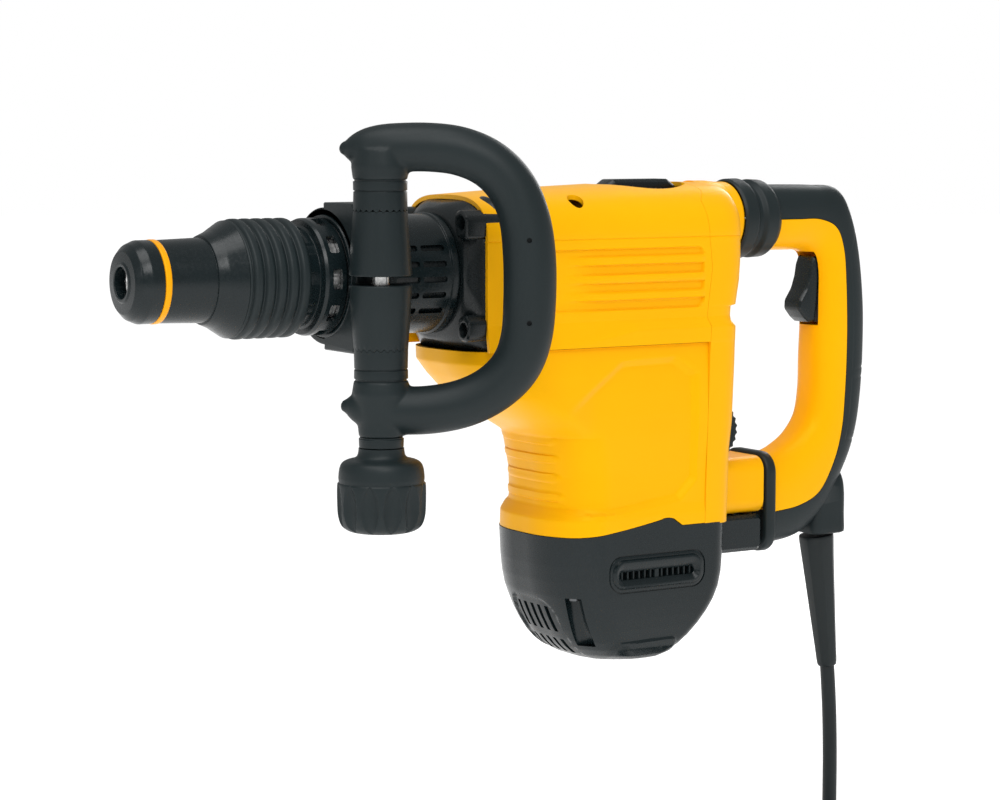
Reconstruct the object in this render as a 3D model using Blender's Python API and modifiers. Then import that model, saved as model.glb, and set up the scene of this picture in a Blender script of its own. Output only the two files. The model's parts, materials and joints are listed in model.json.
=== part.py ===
"""Demolition hammer with an SDS-max style tool socket, a D-shaped main handle and a looped side handle.

Every size below is in millimetres, in the tool frame: X runs along the tool axis from the nose to the
main handle, Y points to the tool's right side, Z is up, and the tool axis is y = z = 0.  The helpers
turn millimetres into Blender's metres, and the empty "tool_frame" moves the whole hammer so that the
middle of the main grip, where the operator holds it, is the world origin.
"""

import math

import bmesh
import bpy
from mathutils import Matrix, Vector

MM = 0.001
GAP = 0.3  # clearance between pieces that rest on each other
SEG = 24  # sides of a round piece

# Main grip, the world origin.
GRIP_X, GRIP_Z = 251.0, -42.0

# Nose and locking sleeve, along the tool axis.
NOSE_X = -248.5
BORE_R = 9.15  # socket for an 18 mm shank
HOLDER_R = 19.0
HOLDER_END = -128.0
CAP_R = 23.3
SLEEVE_FRONT, SLEEVE_STEP, SLEEVE_END = -228.7, -199.4, -145.2
SLEEVE_TRAVEL = 9.0
GRIP_FRONT, GRIP_RIBS, RIB_PITCH = -184.0, 5, 7.4
GRIP_R = 34.2
COLLAR_FRONT, COLLAR_REAR, COLLAR_R = -136.5, -122.6, 34.0
WINDOWS = 12

# Barrel and gear case.
BARREL_FRONT, BARREL_REAR, BARREL_R = -121.5, -49.5, 36.0
SLOT_PITCH, SLOT_H = 9.1, 3.2
CYLINDER_R = 24.2
CASE_BORE = 24.6
HALF_WIDTH = 50.0  # the housing's half width
WALL = 3.0

# Housing: seams between the yellow shells and the black cap.
TOP_Z = 52.0
SEAM_Z = -45.0
REAR_SEAM_X = 120.0
REAR_X = 151.0
CAP_BOTTOM = -239.0

# Crank drive.
CRANK_X, MOTOR_X = 24.0, 70.0
GEAR_MODULE, GEAR_TEETH, PINION_TEETH = 2.0, 39, 7
THROW = 13.0

# Side handle: the bolt stands beside the barrel, and the loop is swung outwards by LOOP_SWING.
BOLT_X, BOLT_Y = -111.6, -52.0
LOOP_SWING = math.radians(32)
LOOP_TUBE_R = 14.2
TOOTH_Z, TEETH = 39.0, 24

# Main handle.
ARM_Z = 28.0
PIVOT_X, PIVOT_Z = 188.5, -150.0
HANDLE_HALF = 17.5
DIAL_X, DIAL_Y, DIAL_Z, DIAL_R = 132.6, -34.0, -101.5, 19.0
SELECTOR_X, SELECTOR_R = 98.0, 27.5

# Cord: it hangs from its sleeve to the floor and lies there in a coil.
CORD_D = 9.5
FLOOR_Z = -430.0
RELIEF_TOP, RELIEF_END = (244.1, -180.2), (254.6, -268.0)
COIL_X, COIL_Y = 176.0, -42.0
COIL_INNER, COIL_OUTER, COIL_RISE, COIL_LAYERS = 38.5, 73.0, 10.0, 3

# Hand-picked route of the hanging cord, from the end of its sleeve to the coil.
CORD_ROUTE = [
    (254.68, 0.0, -268.6),
    (256.0, 0.0, -285.0),
    (257.2, 0.0, -305.0),
    (257.9, 0.0, -330.0),
    (258.0, 0.0, -355.0),
    (258.0, 0.0, -377.0),
    (258.0, -1.6, -389.6),
    (258.0, -6.4, -401.2),
    (258.0, -14.1, -411.1),
    (258.0, -24.0, -418.8),
    (258.0, -35.6, -423.6),
    (258.0, -48.0, -425.2),
]

COLOURS = {
    "yellow": ((0.90, 0.50, 0.012), 0.42, 0.0),
    "black": ((0.018, 0.020, 0.021), 0.45, 0.0),
    "casting": ((0.030, 0.033, 0.034), 0.38, 0.2),
    "rubber": ((0.026, 0.030, 0.031), 0.72, 0.0),
    "steel": ((0.55, 0.55, 0.54), 0.32, 1.0),
    "iron": ((0.20, 0.20, 0.20), 0.5, 0.9),
    "copper": ((0.62, 0.32, 0.18), 0.4, 1.0),
    "carbon": ((0.06, 0.06, 0.065), 0.6, 0.1),
    "board": ((0.02, 0.10, 0.05), 0.5, 0.0),
}


# ---------------------------------------------------------------- scene and helpers


def clear_scene():
    for obj in list(bpy.data.objects):
        bpy.data.objects.remove(obj)


def make_collection(name):
    collection = bpy.data.collections.new(name)
    bpy.context.scene.collection.children.link(collection)
    return collection


def make_material(name):
    colour, roughness, metallic = COLOURS[name]
    material = bpy.data.materials.new(name)
    material.use_nodes = True
    shader = material.node_tree.nodes["Principled BSDF"]
    shader.inputs["Base Color"].default_value = (*colour, 1.0)
    shader.inputs["Roughness"].default_value = roughness
    shader.inputs["Metallic"].default_value = metallic
    material.diffuse_color = (*colour, 1.0)
    return material


clear_scene()
PARTS = make_collection("demolition_hammer")
CUTTERS = make_collection("cutters")
MATERIALS = {name: make_material(name) for name in COLOURS}
FRAME = bpy.data.objects.new("tool_frame", None)
PARTS.objects.link(FRAME)
FRAME.location = Vector((-GRIP_X, 0, -GRIP_Z)) * MM


def place(name, bm, material, at=(0, 0, 0), turn=None):
    """Makes the object of a bmesh given in millimetres round the point `at`, on the tool frame."""
    bmesh.ops.recalc_face_normals(bm, faces=bm.faces)
    bmesh.ops.scale(bm, vec=Vector((MM, MM, MM)), verts=bm.verts)
    mesh = bpy.data.meshes.new(name)
    bm.to_mesh(mesh)
    bm.free()
    mesh.shade_smooth()
    mesh.set_sharp_from_angle(angle=math.radians(35))
    obj = bpy.data.objects.new(name, mesh)
    obj.parent = FRAME
    obj.location = Vector(at) * MM
    if turn:
        obj.rotation_euler = turn
    if material is None:
        CUTTERS.objects.link(obj)
        obj.hide_render = True
        obj.display_type = "WIRE"
    else:
        PARTS.objects.link(obj)
        mesh.materials.append(MATERIALS[material])
    return obj


def to_axis(axis):
    """Matrix that turns a shape made along +Z so that it runs along the axis."""
    return Vector((0, 0, 1)).rotation_difference(Vector(axis)).to_matrix().to_4x4()


def turned(name, profile, material, at=(0, 0, 0), axis=(1, 0, 0), seg=SEG):
    """A turned piece.  The profile is a closed outline of (distance along the axis, radius)."""
    bm = bmesh.new()
    verts = [bm.verts.new((r, 0, x)) for x, r in profile]
    edges = [bm.edges.new((verts[i - 1], v)) for i, v in enumerate(verts)]
    edges = [e for e in edges if any(v.co.x > 1e-6 for v in e.verts)]
    bmesh.ops.spin(
        bm, geom=verts + edges, cent=(0, 0, 0), axis=(0, 0, 1),
        angle=2 * math.pi, steps=seg, use_duplicate=False,
    )
    bmesh.ops.remove_doubles(bm, verts=bm.verts, dist=1e-4)
    loose = [e for e in bm.edges if not e.link_faces]
    bmesh.ops.delete(bm, geom=loose, context="EDGES")
    bmesh.ops.transform(bm, matrix=to_axis(axis), verts=bm.verts)
    return place(name, bm, material, at)


def tube(name, start, end, outer, inner, material, at=(0, 0, 0), axis=(1, 0, 0), seg=SEG):
    profile = [(start, inner), (end, inner), (end, outer), (start, outer)]
    return turned(name, profile, material, at, axis, seg)


def rod(name, start, end, radius, material, at=(0, 0, 0), axis=(1, 0, 0), seg=SEG):
    bm = bmesh.new()
    bmesh.ops.create_cone(
        bm, cap_ends=True, segments=seg, radius1=radius, radius2=radius, depth=end - start,
        matrix=Matrix.Translation((0, 0, (start + end) / 2)),
    )
    bmesh.ops.transform(bm, matrix=to_axis(axis), verts=bm.verts)
    return place(name, bm, material, at)


def block(name, low, high, material, bevel=0.0, steps=1, at=(0, 0, 0), turn=None):
    size = Vector(high) - Vector(low)
    middle = (Vector(high) + Vector(low)) / 2
    bm = bmesh.new()
    bmesh.ops.create_cube(bm, size=1, matrix=Matrix.Translation(middle) @ Matrix.Diagonal((*size, 1)))
    obj = place(name, bm, material, at, turn)
    if bevel:
        round_edges(obj, bevel, steps)
    return obj


def plate(name, outline, low, high, material, plane="XZ", at=(0, 0, 0), turn=None):
    """A flat outline given in the plane, extruded from low to high along the third axis."""
    bm = bmesh.new()
    lift = {"XZ": lambda a, b: (a, low, b), "XY": lambda a, b: (a, b, low)}[plane]
    along = {"XZ": (0, high - low, 0), "XY": (0, 0, high - low)}[plane]
    face = bm.faces.new([bm.verts.new(lift(a, b)) for a, b in outline])
    made = bmesh.ops.extrude_face_region(bm, geom=[face])["geom"]
    moved = [g for g in made if isinstance(g, bmesh.types.BMVert)]
    bmesh.ops.translate(bm, vec=along, verts=moved)
    return place(name, bm, material, at, turn)


def round_edges(obj, width, steps=1, angle=40):
    bevel = obj.modifiers.new("rounding", "BEVEL")
    bevel.width = width * MM
    bevel.segments = steps
    bevel.limit_method = "ANGLE"
    bevel.angle_limit = math.radians(angle)
    return obj


def combine(obj, other, operation):
    step = obj.modifiers.new(other.name, "BOOLEAN")
    step.operation = operation
    step.object = other
    return obj


def cut(obj, *others):
    for other in others:
        combine(obj, other, "DIFFERENCE")
    return obj


def join(obj, *others):
    for other in others:
        combine(obj, other, "UNION")
    return obj


def skin(bm, rings):
    """Quads between successive rings of vertices, each ring closed."""
    for one, two in zip(rings, rings[1:]):
        for i in range(len(one)):
            bm.faces.new((one[i - 1], one[i], two[i], two[i - 1]))


def loft(name, rings, material, at=(0, 0, 0), closed=False):
    """A solid through rings of points, capped at both ends, or joined end to start when closed."""
    bm = bmesh.new()
    made = [[bm.verts.new(p) for p in ring] for ring in rings]
    if closed:
        skin(bm, made + made[:1])
    else:
        skin(bm, made)
        bm.faces.new(made[0])
        bm.faces.new(made[-1])
    return place(name, bm, material, at)


def rounded_rect(x0, x1, half, radius, steps=4, side=()):
    """Plan outline (x, y) with four rounded corners, and extra points at the given x on both long sides."""
    corners = [
        (x1 - radius, half - radius, 0), (x0 + radius, half - radius, 90),
        (x0 + radius, radius - half, 180), (x1 - radius, radius - half, 270),
    ]
    points = []
    for cx, cy, first in corners:
        for k in range(steps + 1):
            a = math.radians(first + 90 * k / steps)
            points.append((cx + radius * math.cos(a), cy + radius * math.sin(a)))
        if first == 0:
            points += [(x, half) for x in reversed(side)]
        if first == 180:
            points += [(x, -half) for x in side]
    return points


def pipe(name, points, radius, material, seg_res=2):
    """A round wire along the points, as a mesh."""
    curve = bpy.data.curves.new(name, "CURVE")
    curve.dimensions = "3D"
    spline = curve.splines.new("POLY")
    spline.points.add(len(points) - 1)
    for point, co in zip(spline.points, points):
        point.co = (*(Vector(co) * MM), 1.0)
    curve.bevel_depth = radius * MM
    curve.bevel_resolution = seg_res
    curve.use_fill_caps = True
    curve.materials.append(MATERIALS[material])
    obj = bpy.data.objects.new(name, curve)
    obj.parent = FRAME
    PARTS.objects.link(obj)
    return obj


def smooth_route(points, step):
    """Points about `step` apart on a Catmull-Rom curve through the given ones."""
    points = [Vector(p) for p in points]
    ends = [2 * points[0] - points[1], *points, 2 * points[-1] - points[-2]]
    route = []
    for a, b, c, d in zip(ends, ends[1:], ends[2:], ends[3:]):
        count = max(1, round((c - b).length / step))
        for k in range(count):
            t = k / count
            route.append(0.5 * (2 * b + (c - a) * t + (2 * a - 5 * b + 4 * c - d) * t**2
                                + (3 * b - a - 3 * c + d) * t**3))
    return [*route, points[-1]]


def helix(start, end, radius, turns, per_turn, axis_z=0.0, vertical=False):
    """Points of a coil spring along X at height axis_z."""
    points = []
    for k in range(int(turns * per_turn) + 1):
        a = 2 * math.pi * k / per_turn
        x = start + (end - start) * k / (turns * per_turn)
        points.append((x, radius * math.cos(a), axis_z + radius * math.sin(a)))
    return points


# ---------------------------------------------------------------- nose and locking sleeve


def build_tool_holder():
    step, rear = -190.0, HOLDER_END
    holder = turned("tool_holder", [
        (-241.0, BORE_R + 1.2), (-239.8, BORE_R), (step, BORE_R), (step, 13.2), (rear, 13.2),
        (rear, HOLDER_R), (-241.0, HOLDER_R),
    ], "steel")
    window = block("holder_window", (-222.5, -30, -4.2), (-204.5, 30, 4.2), None)
    cut(holder, window)
    for side, name in ((-1, "locking_bar_left"), (1, "locking_bar_right")):
        low, high = sorted((side * 11.0, side * 18.4))
        block(name, (-222, low, -3.8), (-205, high, 3.8), "steel", 1.2)


def build_dust_cap():
    turned("dust_cap", [
        (NOSE_X, 9.0), (NOSE_X, 11.2), (-247.6, 12.2), (-247.2, 17.6), (-243.6, 20.8), (-238.5, CAP_R),
        (-232.8, CAP_R), (-232.8, 19.4), (-241.4, 19.4), (-241.4, 9.0),
    ], "rubber")
    tube("nose_ring", -232.5, -229.0, CAP_R + 0.4, 19.4, "yellow")


def build_sleeve():
    turned("locking_sleeve", [
        (SLEEVE_FRONT, 19.5), (SLEEVE_FRONT, CAP_R), (SLEEVE_STEP, 24.6), (-191.0, 29.0), (GRIP_FRONT - 0.3, 33.4),
        (GRIP_FRONT - 0.3, 31.6), (SLEEVE_END, 31.6), (SLEEVE_END, 29.6), (-180.0, 29.6), (-195.0, 21.5), (-198.0, 19.5),
    ], "black")
    profile = [(GRIP_FRONT, 31.9), (GRIP_FRONT, GRIP_R - 1.0)]
    for k in range(GRIP_RIBS):
        x = SLEEVE_END - (GRIP_RIBS - k) * RIB_PITCH
        profile += [(x, GRIP_R - 1.6), (x + 0.25 * RIB_PITCH, GRIP_R), (x + 0.75 * RIB_PITCH, GRIP_R)]
    profile += [(SLEEVE_END, GRIP_R - 1.4), (SLEEVE_END, 31.9)]
    turned("sleeve_grip", profile, "rubber")
    pipe("sleeve_spring", helix(-177, -139, 24.4, 5, 10), 1.2, "steel", 1)


def build_index_collar():
    collar = turned("index_collar", [
        (-152.0, 27.2), (-152.0, 28.9), (-136.9, 28.9), (COLLAR_FRONT, 31.0), (COLLAR_FRONT, COLLAR_R - 0.8),
        (-135.0, COLLAR_R), (COLLAR_REAR, COLLAR_R), (COLLAR_REAR, 31.4), (-134.6, 31.4), (-134.6, 27.2),
    ], "black", seg=36)
    for k in range(WINDOWS // 2):
        a = math.pi * (k + 0.5) / (WINDOWS // 2)
        window = block(f"window_cutter_{k}", (-131.7, -60, -6.0), (-126.3, 60, 6.0), None)
        window.rotation_euler = (a, 0, 0)
        cut(collar, window)
    tube("index_ring", -134.2, -123.0, 31.0, 28.0, "steel")


# ---------------------------------------------------------------- barrel, gear case, hammer mechanism


def case_ring(x, half, low, high, radius):
    """A rounded rectangle in the YZ plane, 24 points, starting at the same corner as circle_ring."""
    middle, tall = (low + high) / 2, (high - low) / 2
    corners = [(1, 1, 0), (-1, 1, 90), (-1, -1, 180), (1, -1, 270)]
    points = []
    for sy, sz, first in corners:
        for k in range(6):
            a = math.radians(first + 18 * k)
            points.append((x, sy * (half - radius) + radius * math.cos(a),
                           middle + sz * (tall - radius) + radius * math.sin(a)))
    return points


def build_gear_case():
    case = tube("gear_case", BARREL_FRONT, -46.0, 32.6, CASE_BORE, "casting")
    flare = loft("case_flare", [
        case_ring(-49.2, 38.6, -38.6, 38.6, 38.5), case_ring(-45.0, 40.0, -41.5, 41.0, 33.0),
        case_ring(-36.0, 44.0, -48.5, 44.0, 24.0), case_ring(-27.6, 46.4, -53.5, 45.6, 20.0),
    ], None)
    box = loft("case_box", [[(x, y, z) for y, z in rounded_outline(-43.9, 43.9, -42.5, 28.0, 12)]
                            for x in (-28.5, 108.0)], None)
    cavity = loft("case_cavity", [[(x, y, z) for y, z in rounded_outline(-41.4, 41.4, -60.0, 25.2, 10)]
                                  for x in (-24.0, 93.0)], None)
    spigot = tube("case_spigot", -133.6, BARREL_FRONT + 1, 27.0, CASE_BORE, None)
    join(case, flare, box, spigot)
    cut(
        case,
        rod("case_bore", -60, -20, CASE_BORE, None),
        cavity,
    )
    for k, (y, z) in enumerate(((-40.0, 30.5), (40.0, 30.5), (-41.0, -31.5), (41.0, -31.5))):
        cut(case, rod(f"case_screw_hole_{k}", -60, -38.0, 4.4, None, (0, y, z), seg=16))
        rod(f"case_screw_{k + 1}", -46.5, -38.3, 3.9, "steel", (0, y, z), seg=12)


def build_barrel_cover():
    cover = tube("barrel_cover", BARREL_FRONT, BARREL_REAR, BARREL_R, 33.0, "black", seg=36)
    for k in range(5):
        z = (1.8 - k) * SLOT_PITCH - 0.2
        cut(cover, block(f"slot_{k}", (-92, -60, z - SLOT_H / 2), (-57, 60, z + SLOT_H / 2), None))


def build_hammer_mechanism():
    tube("cylinder", -127.0, -31.0, CYLINDER_R, 17.3, "steel")
    turned("beat_piece", [
        (-199, 0), (-199, 8.4), (-184.6, 8.4), (-184.0, 12.8), (-140.5, 12.8), (-140.5, 0),
    ], "steel", seg=24)
    turned("ram", [
        (-126, 0), (-126, 11.8), (-112, 11.8), (-112, 16.9), (-80, 16.9), (-80, 0),
    ], "steel", seg=24)
    piston = turned("piston", [
        (-66, 0), (-66, 16.9), (-34, 16.9), (-34, 13.4), (-58, 13.4), (-58, 0),
    ], "steel", seg=24)
    front, big_end = -52.0, CRANK_X - THROW
    rod_piece = rod("connecting_rod", -4.2, 4.2, 12.0, "iron", (big_end, 0, 0), (0, 0, 1), 24)
    shank = block("rod_shank", (front - 4, -5.5, -3.9), (big_end - 9, 5.5, 3.9), None)
    shank.location = Vector((-big_end, 0, 0)) * MM
    shank.parent = rod_piece
    join(rod_piece, shank)
    cut(rod_piece, rod("big_end_bore", -20, 20, 7.2, None, (big_end, 0, 0), (0, 0, 1), 20))
    return piston


def gear_outline(teeth, module, clearance):
    """Outline of a spur gear with slim teeth, so that a pair runs with backlash."""
    pitch_r = teeth * module / 2
    root, tip = pitch_r - 1.1 * module, pitch_r + 0.7 * module
    points = []
    for k in range(teeth):
        for share, radius in ((-0.25, root), (-0.13, tip), (0.13, tip), (0.25, root)):
            a = 2 * math.pi * (k + share * clearance) / teeth
            points.append((radius * math.cos(a), radius * math.sin(a)))
    return points


def build_crank():
    outline = gear_outline(GEAR_TEETH, GEAR_MODULE, 0.85)
    gear = plate("crank_gear", outline, -31, -22, "steel", "XY", (CRANK_X, 0, 0))
    hub = rod("crank_hub", -38.5, -13, 21.0, None, (CRANK_X, 0, 0), (0, 0, 1), 24)
    pin = rod("crank_pin", -14, -5.0, 6.6, None, (CRANK_X - THROW, 0, 0), (0, 0, 1), 16)
    shaft = rod("crank_shaft", -53.0, -38, 8.0, None, (CRANK_X, 0, 0), (0, 0, 1), 16)
    join(gear, hub, pin, shaft)
    tube("crank_bearing", -50.2, -44.2, 13.0, 8.4, "steel", (CRANK_X, 0, 0), (0, 0, 1), 24)


def build_motor():
    at, up = (MOTOR_X, 0, 0), (0, 0, 1)
    half_tooth = math.pi / PINION_TEETH
    shaft = plate("armature_shaft", gear_outline(PINION_TEETH, GEAR_MODULE, 0.85), -33, -20, "steel", "XY",
                  at, (0, 0, half_tooth + math.pi))
    stem = rod("shaft_stem", -233, -32, 5.0, None, at, up, 16)
    join(shaft, stem)
    tube("rotor_core", -150, -86, 24.4, 5.3, "iron", at, up)
    tube("commutator", -206, -182, 14.0, 5.3, "copper", at, up, 24)
    fan = tube("cooling_fan", -64, -61.5, 37.5, 5.3, "black", at, up)
    blade_ring = tube("fan_hub", -76, -63, 12.0, 5.3, None, at, up, 16)
    join(fan, blade_ring)
    for k in range(8):
        blade = block(f"fan_blade_{k}", (11, -1.2, -74), (36.5, 1.2, -63), None, at=at)
        blade.rotation_euler = (0, 0, math.pi * k / 4)
        join(fan, blade)
    tube("stator", -150, -86, 41.0, 25.4, "iron", at, up)
    tube("upper_bearing", -50.2, -44.2, 13.0, 5.3, "steel", at, up, 24)
    tube("lower_bearing", -229, -221, 11.0, 5.3, "steel", at, up, 24)
    block("brush_left", (MOTOR_X - 4, -34, -198), (MOTOR_X + 4, -14.8, -190), "carbon")
    block("brush_right", (MOTOR_X - 4, 14.8, -198), (MOTOR_X + 4, 34, -190), "carbon")


def build_bearing_plate():
    plate_piece = plate("bearing_plate", rounded_rect(-20, 113, 43.5, 18), -50.6, -43.2, "casting", "XY")
    for x in (CRANK_X, MOTOR_X):
        cut(plate_piece, rod(f"bearing_seat_{x:.0f}", -60, -40, 13.3, None, (x, 0, 0), (0, 0, 1), 24))


# ---------------------------------------------------------------- housing


def arch(x, half, top, low, wall=0.0):
    """Closed YZ section of the upper housing at x: an arch with a broad shoulder."""
    outer = []
    for k in range(13):
        a = math.pi * k / 12
        shoulder = 32.0
        y = math.copysign(abs(math.cos(a)) ** 0.62, math.cos(a)) * (half - wall)
        z = top - shoulder + (shoulder - wall) * math.sin(a) ** 0.8
        outer.append((x, y, z))
    return [(x, half - wall, low), *outer, (x, wall - half, low)]


def build_upper_housing():
    xs = ((-27.3, 47.2, 46.5), (10.0, HALF_WIDTH, 49.0), (70.0, HALF_WIDTH, 51.5), (REAR_SEAM_X - GAP, HALF_WIDTH, TOP_Z))
    rings = []
    for x, half, top in xs:
        outside = arch(x, half, top, SEAM_Z)
        inside = arch(x, half, top, SEAM_Z, WALL)
        rings.append(outside + inside[::-1])
    housing = loft("upper_housing", rings, "yellow")
    cut(
        housing,
        rod("selector_pocket", 41.6, 70, SELECTOR_R + 1.6, None, (SELECTOR_X, 0, 0), (0, 0, 1)),
        rod("top_screw_hole", 0, 70, 4.5, None, (47, -31, 0), (0, 0, 1), 16),
        block("vent_panel_left", (8, -60, -23), (117, -HALF_WIDTH + 1.4, 13.4), None, 5, 3),
        block("vent_panel_right", (8, HALF_WIDTH - 1.4, -23), (117, 60, 13.4), None, 5, 3),
    )
    selector = turned("mode_selector", [
        (41.9, 0), (41.9, SELECTOR_R - 1), (43, SELECTOR_R), (47.0, SELECTOR_R), (49.5, SELECTOR_R - 3), (50.4, 12), (50.6, 0),
    ], "black", (SELECTOR_X, 0, 0), (0, 0, 1))
    join(selector, block("selector_bar", (-SELECTOR_R + 1, -8, 46), (SELECTOR_R - 1, 8, 53.5), None, 2.5, 1,
                         (SELECTOR_X, 0, 0)), rod("selector_stem", 28.3, 43, 6.0, None, (SELECTOR_X, 0, 0), (0, 0, 1), 16))
    return selector


HOUSING_SECTIONS = [  # height, front, half width, corner radius
    (-45.4, -47.0, 47.5, 24), (-53.0, -46.5, 48.0, 24), (-62.0, -39.0, 48.6, 24), (-74.0, -27.0, 49.3, 25),
    (-88.0, -5.0, HALF_WIDTH, 26), (-100.0, 15.0, HALF_WIDTH, 26), (-124.0, 19.0, 49.0, 26),
    (-143.0, 19.5, 49.0, 26), (-150.0, 14.5, HALF_WIDTH, 26),
]


def cap_line(x):
    """Height of the seam between the motor housing and the bottom cap."""
    if x < 89:
        return -160 + 9 * max(0.0, (x - 25) / 64) ** 1.3
    return max(-156.5, -151 - 6 * (x - 89) / 12)


SEAM_POINTS = (50.0, 62.0, 76.0, 89.0)  # where the seam between housing and cap bends


def build_motor_housing():
    outer, inner = [], []
    for inset, rings in ((0, outer), (WALL, inner)):
        for z, front, half, radius in HOUSING_SECTIONS:
            plan = rounded_rect(front + inset, REAR_SEAM_X - GAP - inset, half - inset, radius - inset, 4, SEAM_POINTS)
            rings.append([(x, y, z) for x, y in plan])
        plan = rounded_rect(14 + inset, REAR_SEAM_X - GAP - inset, HALF_WIDTH - inset, 26 - inset, 4, SEAM_POINTS)
        rings.append([(x, y, cap_line(x)) for x, y in plan])
    housing = loft("motor_housing", outer + inner[::-1], "yellow", closed=True)
    cut(housing, block("dial_clear", (112, DIAL_Y - 4.4, DIAL_Z - 16), (130, DIAL_Y + 4.4, DIAL_Z + 16), None))


CAP_SECTIONS = [  # height, front, rear, half width, corner radius
    (-178.0, 15.5, 140.5, HALF_WIDTH, 26), (-197.0, 18.5, 138.5, 49.0, 26), (-212.0, 25.0, 132.0, 46.5, 26),
    (-226.0, 35.0, 120.0, 42.0, 24), (-235.0, 46.0, 107.0, 37.0, 20), (CAP_BOTTOM, 54.0, 98.0, 32.0, 16),
]


def build_bottom_cap():
    outer, inner = [], []
    for inset, rings in ((0, outer), (WALL, inner)):
        plan = rounded_rect(14 + inset, 141 - inset, HALF_WIDTH - inset, 26 - inset, 4, (*SEAM_POINTS, 101.0))
        rings.append([(x, y, cap_line(x) - GAP) for x, y in plan])
        for z, front, rear, half, radius in CAP_SECTIONS:
            side = [min(max(x, front + radius), rear - radius) for x in (*SEAM_POINTS, 101.0)]
            plan = rounded_rect(front + inset, rear - inset, half - inset, radius - inset, 4, side)
            rings.append([(x, y, z + inset) for x, y in plan])
    bm = bmesh.new()
    outside = [[bm.verts.new(p) for p in ring] for ring in outer]
    inside = [[bm.verts.new(p) for p in ring] for ring in inner]
    skin(bm, outside[::-1] + inside)
    bm.faces.new(outside[-1])
    bm.faces.new(inside[-1])
    cap = place("bottom_cap", bm, "black")
    bracket = block("handle_bracket", (138.0, -23, -182.5), (183.0, 23, -159.0), None, 7, 2)
    join(cap, bracket)
    for side, name in ((-1, "left"), (1, "right")):
        low, high = sorted((side * (HALF_WIDTH - 1.5), side * 60.0))
        cut(cap, block(f"intake_panel_{name}", (47, low, -192.5), (116, high, -174.5), None, 7, 3))
        low, high = sorted((side * 40.0, side * 60.0))
        cut(cap, block(f"intake_slot_{name}", (53, low, -185.8), (109, high, -180.6), None))
        at = (35.0, side * 37.5, 0)
        join(cap, rod(f"screw_tower_{name}", -214, -180, 7.2, None, at, (0, 0, 1), 16))
        cut(cap, rod(f"screw_channel_{name}", -240, -196, 4.6, None, at, (0, 0, 1), 16))
        rod(f"cap_screw_{name}", -205, -196.3, 4.2, "steel", at, (0, 0, 1), 12)


def rear_section(x, half, top, lean, wall=0.0):
    """Closed YZ section of the rear cover; its lower part leans forward by `lean`."""
    points = []
    for px, y, z in arch(x, half, top, -152.6 + wall, wall):
        points.append((px - lean * min(1.0, max(0.0, (20 - z) / 172)), y, z))
    return points


def build_rear_cover():
    """The yellow back of the housing, with the boss for the bellows and the stub of the lower arm."""
    outside = [rear_section(*row) for row in (
        (REAR_SEAM_X, HALF_WIDTH, TOP_Z, 0.0), (138.0, HALF_WIDTH, 51.0, 4.0), (146.5, 46.0, 49.6, 6.0), (151.5, 38.0, 46.0, 7.5),
    )]
    inside = [rear_section(*row, WALL) for row in (
        (REAR_SEAM_X, HALF_WIDTH, TOP_Z, 0.0), (137.0, HALF_WIDTH, 51.0, 4.0), (144.5, 46.0, 49.6, 6.0), (148.3, 38.0, 46.0, 7.5),
    )]
    bm = bmesh.new()
    outer = [[bm.verts.new(p) for p in ring] for ring in outside]
    inner = [[bm.verts.new(p) for p in ring] for ring in inside]
    skin(bm, outer[::-1] + inner)
    bm.faces.new(outer[-1])
    bm.faces.new(inner[-1])
    cover = place("rear_cover", bm, "yellow")
    boss = tube("bellows_boss", 140.0, 167.0, 23.6, 19.4, None, (0, 0, ARM_Z))
    stub = block("lower_stub", (139.5, -23, -158.6), (183.0, 23, -122.5), None, 7, 2)
    tongue = block("pivot_tongue", (181, -8, -157), (194.4, 8, -143), None, 3)
    join(cover, boss, stub, tongue)
    cut(cover, rod("tongue_hole", -30, 30, 4.3, None, (PIVOT_X, 0, PIVOT_Z), (0, 1, 0), 16))
    cut(cover, rod("spring_well", 146.0, 180, 19.4, None, (0, 0, ARM_Z)),
        rod("selector_clear", 41.6, 70, SELECTOR_R + 1.6, None, (SELECTOR_X, 0, 0), (0, 0, 1)),
        block("dial_slot", (112, DIAL_Y - 4.4, DIAL_Z - 20), (160, DIAL_Y + 4.4, DIAL_Z + 20), None))
    turned("speed_dial", [(-3.6, 0), (-3.6, DIAL_R), (3.6, DIAL_R), (3.6, 0)], "black",
           (DIAL_X, DIAL_Y, DIAL_Z), (0, 1, 0), 36)
    block("electronics_module", (123.4, -24, -140), (131.0, 24, -70), "board", 1.5)


# ---------------------------------------------------------------- main handle

YELLOW_EDGE = [  # boundary between the yellow halves and the black overmould, from the upper arm down
    (196.0, 27.5), (230.0, 27.3), (243.0, 20.0), (250.8, 6.9), (256.3, -25.6), (257.0, -64.6),
    (253.4, -103.6), (244.6, -121.0), (228.5, -145.0), (212.0, -155.0), (194.0, -159.4),
]
INNER_EDGE = [  # the finger opening, from the lower arm up
    (194.0, -124.0), (206.0, -120.5), (219.0, -112.5), (229.0, -100.0), (233.2, -86.0), (233.4, -43.0),
    (233.0, 1.0), (227.0, 7.5), (196.0, 7.5),
]
OUTER_EDGE = [  # the overmould's outside, from the lower arm up
    (194.0, -182.5), (222.8, -178.8), (231.0, -178.4), (265.0, -178.4), (265.8, -148.0), (262.0, -120.0),
    (266.2, -90.0), (269.0, -60.0), (269.1, -38.0), (267.0, 4.0), (262.0, 24.0), (255.0, 41.0),
    (248.0, 47.5), (196.0, 49.5),
]


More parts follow.
